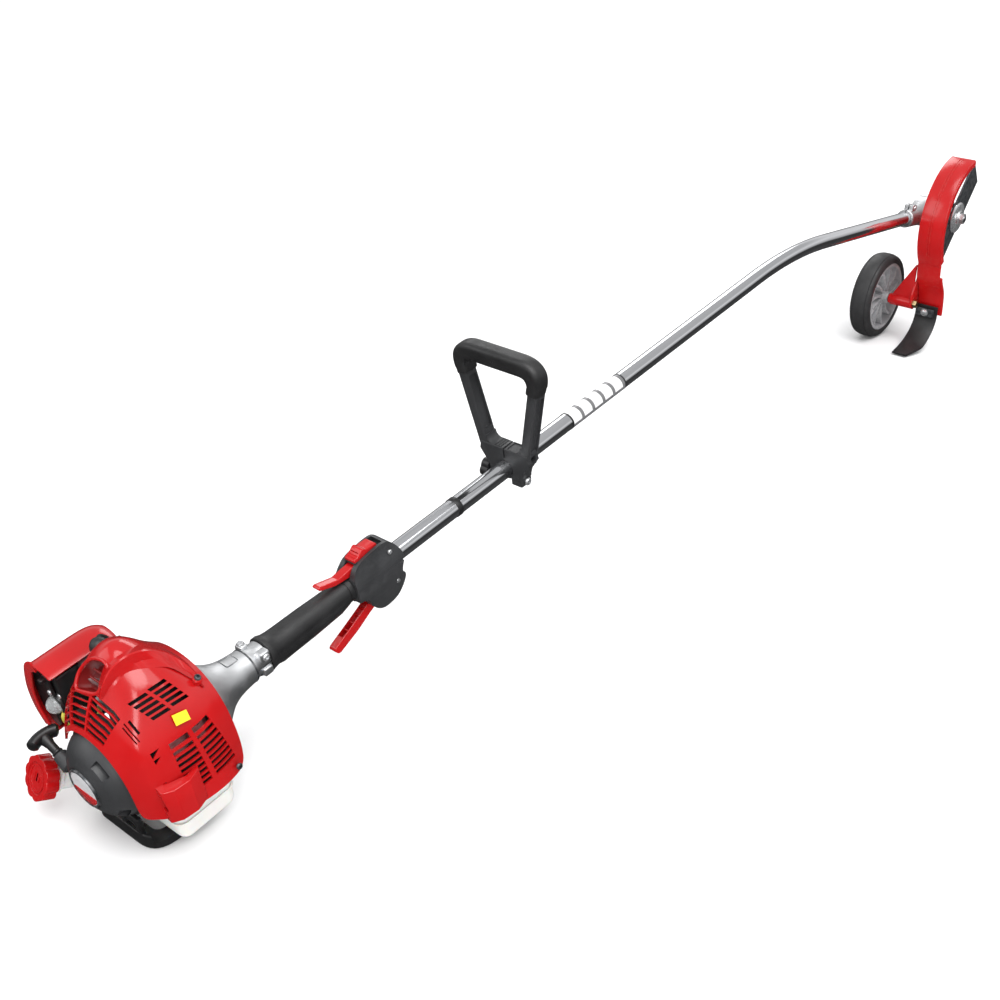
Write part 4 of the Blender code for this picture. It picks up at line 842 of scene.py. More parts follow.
def front_handle():
    x0, low = 395, -15.5
    line = rounded(LOOP, 0, 16)
    h = prism("handle_loop", ribbon(line, 6.5), x0 - 9, x0 + 9, "YZ", 1.4, 3)
    # channels with rims down both faces of each leg
    tools = []
    for s in (-1, 1):
        leg = sorted([p for p in line if p[0] * s > 0], key=lambda p: p[1])[:2]
        a, b = Vector(leg[0]), Vector(leg[1])
        d = (b - a).normalized()
        nrm = Vector((d.y, -d.x)) * s
        for k, (off, start) in enumerate(((6.5, 20), (-6.5, 32))):
            a2, b2, c, w = a + d * start, a + d * 101, nrm * off, nrm * 3.8
            pts = [a2 + c - w, b2 + c - w, b2 + c + w, a2 + c + w]
            tools.append(prism(f"channel_{k}", [tuple(p) for p in pts], x0 - 6.2, x0 + 6.2, "YZ",
                1.0, 3))
    cut(h, *tools)
    foot = prism("handle_foot", rounded([(-38, 17), (-26.5, 0), (-23.8, -9), (-23.8, -12),
        (23.8, -12), (23.8, -9), (26.5, 0), (38, 17), (35, 28), (-35, 28)], 2.5, 5), x0 - 9.6,
        x0 + 9.6, "YZ", 1.5, 3)
    lug = prism("handle_lugs", rounded([(-23.8, -22), (23.8, -22), (23.8, -8), (-23.8, -8)], 5, 6),
        x0 - 8.4, x0 + 8.4, "YZ", 1.4, 3)
    fillets = []
    for s in (-1, 1):
        fill = [(s * y, z) for y, z in arc(9, -90, 0, 9, (16.6, 37))
            + [(28, 37), (28, 27), (16.6, 27)]]
        fillets.append(prism(f"fillet_{s}", fill, x0 - 8.8, x0 + 8.8, "YZ"))
    join(h, foot, lug, *fillets)
    ribs = [box(f"foot_groove_{i}", (x0 - 8.2 + 2.5 * i, 4, 27.2), (x0 - 7.0 + 2.5 * i, 15, 30), 0)
        for i in range(7)]
    ribs += [box("foot_pad", (x0 - 7.6, -15, 27.1), (x0 + 7.6, -4, 30), 0)]
    cut(h, rod("handle_bore", (x0 - 30, 0, 0), (x0 + 30, 0, 0), 11.25, sides=64),
        box("handle_split", (x0 - 30, -1.1, 5), (x0 + 30, 1.1, 60), 0),
        box("lug_gap", (x0 - 30, -6.8, -60), (x0 + 30, 6.8, -5), 0),
        rod("clamp_way", (x0, -50, low), (x0, 50, low), 3.2), rod("clamp_sink", (x0, -40, low),
        (x0, -23.0, low), 5.4), prism("leg_hole", rounded([(x0 - 4, 16), (x0 + 4, 16),
        (x0 + 4, 26), (x0 - 4, 26)], 3.6, 6), -46, -30, "XZ"), *ribs)
    done(h, "grey", "handle", "front_handle", angle=38)
    saddle = lathe("handle_saddle", [(x0 - 9.5, 11.3), (x0 - 9.5, 13.6), (x0 - 8.6, 14.4),
        (x0 - 6, 14.4), (x0 - 6, 11.3)], closed=True, steps=72)
    done(saddle, "grey", "handle")

    section = rounded([(-11.2, -11.7), (11.2, -11.7), (11.2, 11.7), (-11.2, 11.7)], 8, 8)
    top = [p for p in line if p[1] > 117]
    run = [(top[0][0] + 2.3, 115), (top[0][0] + 0.6, 122), *top[1:-1], (top[-1][0] - 0.6, 122),
        (top[-1][0] - 2.3, 115)]

    def swell(t):
        w = min(1.0, 4.2 * min(t, 1 - t))
        w = w * w * (3 - 2 * w)
        return (0.78 + 0.22 * w, 1.0)

    g = sweep("handle_grip_soft", [(x0, y, z) for y, z in run], section, up=(1, 0, 0), scale=swell)
    soft(g, 1.4, 3, 60)
    bake(g)
    room = prism("bar_room", ribbon(line, 6.8), x0 - 9.35, x0 + 9.35, "YZ")
    cut(g, room, rod("grip_hole", (x0 - 30, 0, 145.5), (x0 - 10.6, 0, 145.5), 1.3))
    done(g, "rubber", "handle", "handle_grip")

    k = prism("knob_body", lobes(15, 13.2, 6), 27.6, 38.4, "XZ", 1.5, 4)
    k.data.transform(Matrix.Translation(Vector((x0, 0, low)) * MM))
    cut(k, rod("knob_face", (x0, 36.4, low), (x0, 44, low), 9.2, sides=48))
    done(k, "black", "knob", "handle_knob")
    done(rod("knob_insert", (x0, 26, low), (x0, 37.4, low), 4.0), "brass", "knob")
    done(rod("knob_bolt", (x0, -24.4, low), (x0, 26, low), 2.6), "zinc", "knob")
    done(screw("knob_bolt_head", (x0, -24.6, low), (0, -1, 0), 4.9, "cross"), "zinc", "knob")


# ---- cutting head -----------------------------------------------------------------------
# in the GROUND frame: the blade's axis, the wheel arm's pivot, the wheel's centre and radius
CX, CZ = 1519.0, 211.0
PX, PZ = 1478.0, 155.0
WX, WY, WR = 1439.3, 36.8, 74.0
DEPTH_R = 62    # from the pivot to the bolt that locks the arm
BLADE_ANGLE = radians(56)


def gear_case():
    c = lathe("gear_case_cast", [(-98, 11.4), (-98, 14.2), (-97.2, 15), (-90, 15.2), (-60, 16),
        (-44, 17.4), (-30, 20), (-16, 22), (-16, 8.6), (-28, 8.6), (-28, 11.4)], steps=96,
        closed=True)
    body = lathe("case_body", [(-26, 0), (-26, 21), (-24, 24), (-22.4, 25), (-9, 25), (-8, 24),
        (-6.4, 24), (-5.4, 25), (21, 25), (23, 24), (24, 22), (24, 0)], (0, 0, 0), (0, 1, 0), 96)
    nose = lathe("case_nose", [(25, 0), (25, 17), (27, 16.2), (37, 15.8), (38.4, 14.6), (38.4, 0)],
        (0, 0, 0), (0, -1, 0), 72)
    join(c, body, nose, box("ear_a", (-89, -8, 11), (-75, 8, 22.6), 1.8, 4),
        box("ear_b", (-45, -23.4, -10), (-31, -14, 2), 1.8, 4))
    cut(c, rod("gear_room", (0, -20, 0), (0, 20, 0), 20, sides=64),
        rod("nose_bore", (0, -45, 0), (0, -19, 0), 9, sides=48),
        rod("neck_bore", (-35, 0, 0), (-10, 0, 0), 8.9, sides=48),
        box("case_slit", (-120, -1, 9), (-66, 1, 40), 0))
    done(c, "cast", "frame", "gear_case", at=HEAD)
    for i, (at, axis, r) in enumerate((((-82, -8, 17.4), (0, -1, 0), 3.6),
            ((-38, -23.4, -4), (0, -1, 0), 4.2), ((17, 24, 9), (0, 1, 0), 3),
            ((-15, 24, 9), (0, 1, 0), 3), ((0, 24, -18), (0, 1, 0), 3))):
        done(screw(f"case_screw_{i}", at, axis, r, "hex"), "zinc", "frame", at=HEAD)
    for i, (x, z) in enumerate(((-12, 19), (17, 14))):
        done(lathe(f"case_cap_{i}", [(24.6, 0), (24.6, 5.8), (36.0, 5.8), (37.2, 4.8), (37.6, 3),
            (36.6, 2.2), (36.6, 0)], (x, 0, z), (0, -1, 0), 40), "black", "frame", at=HEAD)


def cutter():
    ca, sa = cos(BLADE_ANGLE), sin(BLADE_ANGLE)
    half, w, slant = 95.0, 23.0, 13.0
    outline = [(-half, -w, 0.4), (half - slant, -w, 1.5), (half, w, 0.4), (slant - half, w, 1.5)]
    outline = [(x * ca - z * sa, x * sa + z * ca) for x, z in rounded(outline, 1.5, 4)]
    b = prism("blade_plate", outline, -49.8, -46.8, "XZ", 0.55, 2)
    cut(b, rod("arbor", (0, -80, 0), (0, -40, 0), 5.3, sides=40, edge=0.1))
    done(b, "dark", "cutter", "blade", at=HEAD)
    wsh = lathe("blade_dish", [(50.0, 5.3), (50.0, 24.4), (50.8, 25.8), (52.2, 26), (53.2, 25),
        (54.2, 21.6), (55.0, 16), (55.6, 13), (57.6, 12.4), (58, 11.6), (58, 5.3)], (0, 0, 0),
        (0, -1, 0), 96, closed=True)
    done(wsh, "zinc", "cutter", "blade_washer", at=HEAD)
    nut = hexagon("nut_body", (0, -58.2, 0), (0, -64.6, 0), 9.5)
    cut(nut, rod("nut_bore", (0, -80, 0), (0, -50, 0), 5.2, sides=40, edge=0.1))
    done(nut, "zinc", "cutter", "blade_nut", at=HEAD)
    thread = [(54, 0), (54, 4.9)]
    for i in range(9):
        thread += [(55 + 1.2 * i, 4.9), (55.5 + 1.2 * i, 4.45)]
    thread += [(65.9, 4.6), (66.3, 3.8), (66.3, 0)]
    done(lathe("arbor_thread", thread, (0, 0, 0), (0, -1, 0), 48), "steel", "cutter", at=HEAD)


def guard():
    tail = [(1434, 140), (1437, 124), (1446, 110), (1454, 96), (1458, 78), (1460, 56)]
    hub = (CX, CZ)
    rim = arc(104.6, 97, 215, 60, hub)
    g = prism("guard_band", ribbon(rim + curve([rim[-1]] + tail[:3], 5)[1:], 1.6), -72, -31.2,
        "XZ", 0.5, 2)
    parts = [prism("guard_lip", ribbon(arc(101, 98, 212, 56, hub), 4.6), -74, -71.3, "XZ", 0.8, 3),
        prism("guard_skirt", ribbon(curve([(1436, 130), (1439, 122), (1447.5, 109)] + tail[3:], 6),
        2.1), -76, -31.6, "XZ", 0.7, 3)]
    side = [(CX + 26, CZ + 6), (CX + 20, CZ + 24), (CX - 6, CZ + 32), (CX - 60, CZ + 66),
        (CX - 84, CZ + 62), (CX - 103.5, CZ + 10), (CX - 96, CZ - 40), (CX - 86, CZ - 62),
        (CX - 76, CZ - 90), (CX - 64, CZ - 118), (CX - 60, CZ - 150), (CX - 22, CZ - 120),
        (CX - 16, CZ - 60), (CX + 20, CZ - 22)]
    parts.append(prism("guard_web", rounded(side, 9, 6), -34.4, -31.3, "XZ", 0.5, 2))
    for i, y in enumerate((-53.6, -49.6)):
        parts.append(prism(f"guard_ridge_{i}", ribbon(arc(106, 100, 204, 56, hub), 0.9), y,
            y + 1.8, "XZ"))
    join(g, *parts)
    rel = GROUND.inverted() @ HEAD
    caps = [rod(f"cap_way_{i}", (x, -60, z), (x, 0, z), 6.4, sides=40)
        for i, (x, z) in enumerate(((-12, 19), (17, 14)))]
    for c in caps:
        c.data.transform(rel)
    cut(g, rod("guard_eye", (CX, -60, CZ), (CX, 0, CZ), 16.6, sides=64),
        rod("pivot_eye", (PX, -60, PZ), (PX, 0, PZ), 4.4), prism("depth_slot",
        ribbon(arc(DEPTH_R, 273, 255.5, 8, (PX, PZ)), 4.4), -40, -20), *caps)
    done(g, "paint", "frame", "guard", at=GROUND)


def bracket():
    a = radians(268)
    hx, hz = PX + DEPTH_R * cos(a), PZ + DEPTH_R * sin(a)
    arm = prism("arm_plate", rounded([(PX - 12, PZ + 2), (PX, PZ + 12), (PX + 12, PZ),
        (hx + 12, hz), (hx + 4, hz - 14), (WX + 2, WR - 12), (WX - 11, WR - 4), (WX - 8, WR + 18)],
        5, 6), -30.6, -27.3, "XZ", 0.6, 3)
    parts = [prism("arm_web", rounded([(-28, PZ - 9), (11, WR + 5), (11, WR - 9), (-28, WR - 9)],
        1.5, 4), WX - 2, WX + 1.6, "YZ", 0.5, 2), prism("arm_shelf",
        rounded([(WX - 2, -28), (WX + 34, -28), (WX + 6, 12), (WX - 2, 12)], 1.5, 4), WR - 10,
        WR - 7, "XY", 0.5, 2), lathe("arm_boss", [(-28, 0), (-28, 8.6), (12.8, 8.6), (13.5, 8),
        (13.5, 0)], (WX, 0, WR), (0, 1, 0), 48)]
    join(arm, *parts)
    cut(arm, rod("axle_way", (WX, -60, WR), (WX, 30, WR), 4.4),
        rod("pivot_way", (PX, -60, PZ), (PX, 0, PZ), 4.4), rod("lock_way", (hx, -60, hz),
        (hx, 0, hz), 4.4))
    done(arm, "paint", "wheel_bracket", "wheel_arm", at=GROUND)

    def bolt(name, x, z, body, node, head, shank, nut, r, rn, dome=False):
        """A bolt along Y: spans of its head, shank and nut, radii of the head and the nut."""
        o = rod(name, (x, shank[0], z), (x, shank[1], z), 3.95, sides=40)
        parts = [hexagon(name + "_nut", (x, nut[0], z), (x, nut[1], z), rn)]
        if dome:
            parts.append(lathe(name + "_dome", [(0, 0), (0, r), (1.2, r), (3.4, r * .82),
                (4.6, r * .45), (4.9, 0)], (x, head[0], z), (0, 1, 0), 48))
        else:
            parts.append(hexagon(name + "_head", (x, head[0], z), (x, head[1], z), r))
            parts.append(lathe(name + "_washer", [(0, 3.9), (0, r * 1.12), (0.9, r * 1.12),
                (0.9, 3.9)], (x, head[1], z), (0, -1, 0), 48, closed=True))
        join(o, *parts)
        done(o, "brass", body, node, at=GROUND)

    bolt("pivot_screw", PX, PZ, "frame", "pivot_bolt", (-39, -34.9), (-38, -22), (-26.9, -20), 8,
        7.5)
    bolt("depth_screw", hx, hz, "wheel_bracket", "depth_bolt", (-42, -34.9), (-44, -22),
        (-26.9, -18), 8, 8)
    bolt("axle_screw", WX, WR, "wheel_bracket", "axle_bolt", (49.2, 49.2), (-37.6, 50),
        (-38, -31.1), 8, 7, True)


def wheel():
    half = [(-17.6, 59.2), (-18, 60), (-18, 64.6), (-17.2, 67.6), (-15.4, 70.2), (-13, 71.8),
        (-12.2, 71.9), (-11.6, 71.4), (-11.0, 72.4), (-7, 73.6)]
    prof = half + [(0, 74)] + [(-x, r) for x, r in half[::-1]]
    done(lathe("tyre_ring", prof, (WX, WY, WR), (0, 1, 0), 144, closed=True), "tyre", "wheel",
        "tyre", at=GROUND)
    at = (WX, WY, WR)
    hub = lathe("hub_rim", [(-16.4, 54), (-16.4, 58.6), (-15.8, 59.1), (15.8, 59.1), (16.4, 58.6),
        (16.4, 54), (15.4, 53.4), (5, 52.4), (-5, 52.4), (-15.4, 53.4)], at, (0, 1, 0), 144,
        closed=True)
    boss = lathe("hub_boss", [(-22.4, 0), (-22.4, 9.4), (-21.6, 10), (-6, 11.6), (-4, 13), (4, 13),
        (6, 12.2), (11.4, 11.8), (12, 11), (12, 0)], at, (0, 1, 0), 72)
    tools = [boss]
    for i in range(11):
        a = 2 * pi * i / 11
        path = []
        for k in range(9):
            t = k / 8
            r = 9 + 45.5 * t
            path.append((WX + r * cos(a + 0.25 * t * t), WR + r * sin(a + 0.25 * t * t)))
        tools.append(prism(f"spoke_{i}", ribbon(path, 2.0), WY - 13.5, WY + 5, "XZ"))
    join(hub, *tools)
    cut(hub, rod("hub_bore", (WX, 0, WR), (WX, 80, WR), 4.4, sides=40, edge=0.1))
    done(hub, "hub", "wheel", "wheel_hub", at=GROUND)


def flap():
    sheet = curve([(1451.8, 72), (1451.8, 54), (1448, 41), (1438, 28), (1420, 16), (1398, 8),
        (1376, 4)], 6)
    f = prism("flap_sheet", ribbon(sheet, 1.5), -71, -32, "XZ", 0.4, 2)
    cut(f, prism("flap_corner", [(1350, -74), (1418, -74), (1350, -46)], -5, 60, "XY"))
    done(f, "rubber", "frame", "mud_flap", at=GROUND)
    b = box("flap_strap", (1446.3, -66, 53), (1449.4, -34, 67), 1.0, 3)
    done(b, "dark", "frame", "flap_bracket", at=GROUND)
    done(lathe("flap_rivet", [(0, 0), (0, 6.4), (1, 6.4), (1.2, 5.4), (3.2, 4.6), (4.2, 2.6),
        (4.4, 0)], (1446.4, -50, 60), (-1, 0, 0), 48), "zinc", "frame", at=GROUND)


# ---- engine cover -----------------------------------------------------------------------
# the cover's rings: x along the tube, then (y, z) points from the left over the top to the right
COVER = [
    (-90, [(58, 44), (47, 60), (26, 72), (0, 76), (-28, 72), (-52, 56), (-68, 20), (-70, -33)]),
    (-108, [(50, 66), (42, 76), (24, 88), (0, 93), (-30, 86), (-58, 66), (-76, 22), (-77, -33)]),
    (-126, [(28, 106), (22, 110), (13, 113.5), (1, 116), (-30, 102), (-60, 73), (-80, 24),
            (-81, -32)]),
    (-144, [(27, 113), (21, 118), (12, 122), (3, 125), (-28, 109), (-58, 75), (-80, 24),
            (-82, -30)]),
    (-162, [(30, 102), (24, 107), (15, 111), (4, 115), (-27, 100), (-56, 69), (-77, 20),
            (-80, -28)]),
    (-178, [(62, 44), (52, 66), (30, 84), (3, 92), (-26, 84), (-54, 60), (-73, 14), (-76, -26)]),
    (-186, [(63, 26), (52, 54), (30, 74), (2, 81), (-26, 74), (-52, 54), (-69, 11), (-71, -25)]),
    (-194, [(57, 19), (47, 43), (27, 60), (2, 66), (-24, 60), (-46, 42), (-59, 8), (-61, -25)]),
    (-200, [(49, 15), (40.5, 34), (24, 47), (2, 52), (-20, 48), (-38.5, 34), (-51, 5),
            (-51, -25)]),
]


def skin(t, phi):
    """A point on the cover: t counts along its rings, phi is the direction about the tube."""
    i = min(int(t), len(COVER) - 2)
    out = []
    for k in (i, i + 1):
        ring = COVER[k][1]
        best = None
        for (y0, z0), (y1, z1) in zip(ring, ring[1:]):
            a0, a1 = atan2(z0, y0), atan2(z1, y1)
            if a1 < 0:
                a1 += 2 * pi
            if a0 < 0:
                a0 += 2 * pi
            if a0 <= phi <= a1:
                w = (phi - a0) / (a1 - a0)
                best = hypot(y0 + (y1 - y0) * w, z0 + (z1 - z0) * w)
        if best is None:
            best = hypot(*(ring[0] if phi < pi / 2 else ring[-1]))
        out.append((COVER[k][0], best))
    w = t - i
    x = out[0][0] + (out[1][0] - out[0][0]) * w
    r = out[0][1] + (out[1][1] - out[0][1]) * w
    return Vector((x, r * cos(phi), r * sin(phi)))


def patch(a, b, c, d, u, v):
    a, b, c, d = (Vector(p) for p in (a, b, c, d))
    return a.lerp(b, u).lerp(d.lerp(c, u), v)


def cells(corners, boxes):
    return [[patch(*corners, *p) for p in q] for q in boxes]


def engine_cover():
    # the side is flattened a little beyond y = -74, to stay near the CAD cover's facets
    rows = [[(x, y if y > -74 else y * 0.72 - 20.72, z) for y, z in ring] for x, ring in COVER]
    c = surface("engine_cover_shell", rows)
    outwards(c, (-0.14, 0, 0.02))
    mod(c, 'SUBSURF', levels=4, render_levels=4)
    mod(c, 'SOLIDIFY', thickness=2.4 * MM, offset=-1.0)
    bake(c)
    # air slots on the top, the right side and the rear slope
    top = [(-169.4, -34.3, 86.6), (-129.3, -40.4, 92.9), (-118.1, -57.5, 69.5),
        (-159.6, -55.9, 69.0)]
    boxes = []
    for j in range(2):
        u0, u1 = 0.04 + 0.5 * j, 0.46 + 0.5 * j
        for i in range(5):
            v = 0.03 + 0.2 * i
            boxes.append([(u0, v), (u1, v + 0.05), (u1, v + 0.172), (u0, v + 0.122)])
    tools = [prisms("top_slots", cells(top, boxes), 7)]
    side = [(-160, -67.9, 46.2), (-112.5, -67.9, 47.5), (-99.2, -75.3, -15.3),
        (-163.1, -80.8, -14.1)]
    boxes = []
    for j in range(2):
        u0, u1 = (0.04, 0.455) if j == 0 else (0.545, 0.96)
        boxes.append([(u0, 0.01), (u1, 0.01), (u1, 0.12), (u0, 0.12)])
        for i in range(8):
            v = 0.165 + 0.104 * i
            w = u0 + (0.17 if j == 0 and i > 5 else 0)
            boxes.append([(w, v), (u1, v), (u1, v + 0.073), (w, v + 0.073)])
    tools.append(prisms("side_slots", cells(side, boxes), 8))
    loops = []
    for j in range(3):
        p0, p1 = radians(36 + 27 * j), radians(60.5 + 27 * j)
        for i in range(6):
            t = 5.1 + 0.44 * i
            loops.append([skin(t, p0 + (p1 - p0) * k / 4) for k in range(5)]
                + [skin(t + 0.335, p1 - (p1 - p0) * k / 4) for k in range(5)])
    tools.append(prisms("rear_slots", loops, 6))
    loops = []
    for t, a0, a1 in ((4.72, 119, 129), (5.02, 118, 133), (5.32, 119, 133)):
        p0, p1 = radians(a0), radians(a1)
        loops.append([skin(t, p0 + (p1 - p0) * k / 4) for k in range(5)]
            + [skin(t + 0.14, p1 - (p1 - p0) * k / 4) for k in range(5)])
    for i in range(4):
        p0, p1 = radians(169 + 6 * i), radians(172 + 6 * i)
        loops.append([skin(4.82, p0), skin(5.02, p0), skin(5.02, p1), skin(4.82, p1)])
    for a, b, d in ((144, 148.5, 0), (149.5, 153, 0.12)):
        loops.append([skin(4.3 + d, radians(a)), skin(4.85, radians(a)), skin(4.85, radians(b))])
    tools.append(prisms("shoulder_slots", loops, 7))
    tools += [rod("round_hole", (-157.3, -70, -1), (-157.3, -90, -1), 5.4, sides=40),
        rod("low_hole", (-150, -70, -21), (-150, -90, -21), 1.8, sides=20)]
    cut(c, *tools)
    rim = [(-179.8, 28.5, 80), (-172.5, 32.5, 88.7), (-165.2, 28.9, 98), (-160.5, 17.4, 108.8),
        (-157.9, 2, 112.4), (-160.3, -7.4, 108.5), (-167.5, -8.2, 101.2), (-176.8, -5.7, 90.3),
        (-180.5, 12, 84.5)]
    loop = smooth(rim, 4, cyclic=True)
    mid = sum(loop, Vector()) / len(loop)
    nrm = Vector((-0.72, 0.2, 0.66)).normalized()
    bm = bmesh.new()
    ends = [bm.verts.new((mid + nrm * d) * MM) for d in (16, -16)]
    ra, rb = [[bm.verts.new((mid + (p - mid) * 0.93 + nrm * d) * MM) for p in loop]
        for d in (16, -16)]
    for i in range(len(loop)):
        j = (i + 1) % len(loop)
        bm.faces.new((ra[i], ra[j], rb[j], rb[i]))
        bm.faces.new((ends[0], ra[j], ra[i]))
        bm.faces.new((ends[1], rb[i], rb[j]))
    plug = raw("scoop_hole", bm)
    cut(c, plug)
    # screw boss and outlet hood
    join(c, rod("boss_a", (-104, -42, 60), (-102.5, -49.5, 74.5), 5.4, 4.6, 24, 1.0))
    hood = prism("outlet_hood", rounded([(-184, -64), (-186, -78), (-176, -84.5), (-160, -86.5),
        (-146, -81.5), (-143, -76), (-158, -78), (-174, -72), (-178, -62)], 3, 5), -26, 13, "XY",
        1.6, 3)
    cut(hood, prism("hood_room", rounded([(-183, -67), (-184.4, -77), (-176, -82.6), (-168, -83.8),
        (-168, -74), (-176, -68)], 2, 4), -23.6, 10.4, "XY"), prism("hood_window",
        rounded([(-79, -13), (-67.5, -10), (-68, 6), (-77, 3)], 3, 5), -192, -178, "YZ"))
    join(c, hood)
    done(c, "red", "frame", "engine_cover", angle=30)
    # the raised fin beside the scoop, a wedge standing on the cover
    eye = Vector((-0.253, -0.706, 0.661))
    fin = [((-179.5, -10.5, 87.4), (-176.4, -18.2, 88.6), (-177, -4, 88), 0.5),
        ((-172, -9.4, 98.5), (-167, -22.5, 94.5), (-170, -2.5, 98.5), 6.5),
        ((-160, -9.9, 108.8), (-154, -26.5, 99.6), (-158, 0, 108.5), 9.5),
        ((-144, -13.9, 114.2), (-138.5, -30.4, 102.6), (-142, -3, 113.5), 10),
        ((-125.4, -15.9, 108.3), (-119.2, -34.8, 92.7), (-122, -4, 108), 8.5),
        ((-108.4, -16.8, 92.6), (-108.3, -44.6, 77.3), (-104, -6, 91), 6),
        ((-99.0, -30.7, 78.2), (-104.0, -50.6, 68.5), (-95, -22, 76), 3.2),
        ((-97.4, -45.7, 65.8), (-101.0, -53.6, 63.0), (-94, -40, 65), 0.4)]
    cols = []
    for k in range(3):
        cols.append(smooth([Vector(f[k]) + (eye * f[3] if k == 0 else -eye * 1.2) for f in fin],
            6))
    deep = [(a + b) / 2 - eye * 6 for a, b in zip(cols[1], cols[2])]
    rows = []
    for top_p, right_p, left_p, low_p in zip(cols[0], cols[1], cols[2], deep):
        rows.append([left_p.lerp(top_p, 0.75), top_p.lerp(left_p, 0.06), top_p.lerp(right_p, 0.06),
            top_p.lerp(right_p, 0.5) - eye * 2.4, right_p, low_p, left_p])
    f = surface("cover_fin", rows, wrap=True)
    bm = bmesh.new()
    bm.from_mesh(f.data)
    bmesh.ops.holes_fill(bm, edges=bm.edges)
    bmesh.ops.recalc_face_normals(bm, faces=bm.faces)
    bm.to_mesh(f.data)
    bm.free()
    done(f, "red", "frame", angle=26)
    edge = sweep("scoop_edge", [mid + (p - mid) * 0.97 for p in loop], circle(1.9, 14),
        closed=True)
    done(edge, "red", "frame")
    # the pocket and ribs inside the scoop take the darker red: painted shade for the hollow
    rings = [[mid + (p - mid) * s + nrm * d for p in loop] for s, d in ((0.96, -0.6), (0.93, -6),
        (0.8, -13), (0.45, -16), (0.02, -17))]
    pocket = surface("scoop_pocket", rings, wrap=True)
    mod(pocket, 'SOLIDIFY', thickness=1.0 * MM, offset=-1.0)
    done(pocket, "red_dark", "frame")
    rib = [patch(mid - Vector((0, 14, 0)), mid + Vector((0, 12, 0)), mid + Vector((0, 12, 0)),
        mid - Vector((0, 14, 0)), u, 0) for u in (0.1, 0.9)]
    ribs = [rod(f"scoop_rib_{i}", rib[0] - nrm * (6 + i) + Vector((3, 0, 4)) * (i - 0.5) * 1.6,
        rib[1] - nrm * (6 + i) + Vector((3, 0, 4)) * (i - 0.5) * 1.6, 1.2, sides=14)
        for i in range(2)]
    done(merge("scoop_ribs", *ribs), "red_dark", "frame")
    done(screw("cover_screw_a", (-102.5, -49.6, 74.6), (0.15, -0.45, 0.88), 3.4, "hex"), "dark",
        "frame")
    tag = [(-144.5, -61.0, 67.2), (-130.3, -62.9, 64.5), (-131.2, -67.4, 55.7),
        (-145.6, -65.6, 57.8)]
    lift = Vector((0, -0.9, 0.45)) * 0.9
    done(prisms("plain_tag", [[Vector(q) + lift for q in tag]], 0.35), "tag", "frame")
    for i, (q, a) in enumerate((((-170, -76.4, -19), (0, -1, 0.1)),
            ((-104, -77.6, -24), (0, -1, 0.05)))):
        done(screw(f"cover_screw_{i + 1}", q, a, 3.4, "hex"), "dark", "frame")
    # a near-black sheet behind the slots, painted shade that stands for the shadow inside the
    # cover
    inner = surface("cover_painted_shade_sheet", [[(x, y * 0.86, z * 0.86 if z > 0 else z * 0.8)
        for y, z in ring[4:]] for x, ring in COVER[:6]])
    mod(inner, 'SUBSURF', levels=2, render_levels=2)
    mod(inner, 'SOLIDIFY', thickness=0.8 * MM, offset=-1.0)
    done(inner, "hole", "frame")


# ---- starter ------------------------------------------------------------------------------
# the rope's way out of the case, and where it starts
UP = Vector((0, cos(radians(25)), sin(radians(25))))
ROPE = Vector((-207, 27, -12))


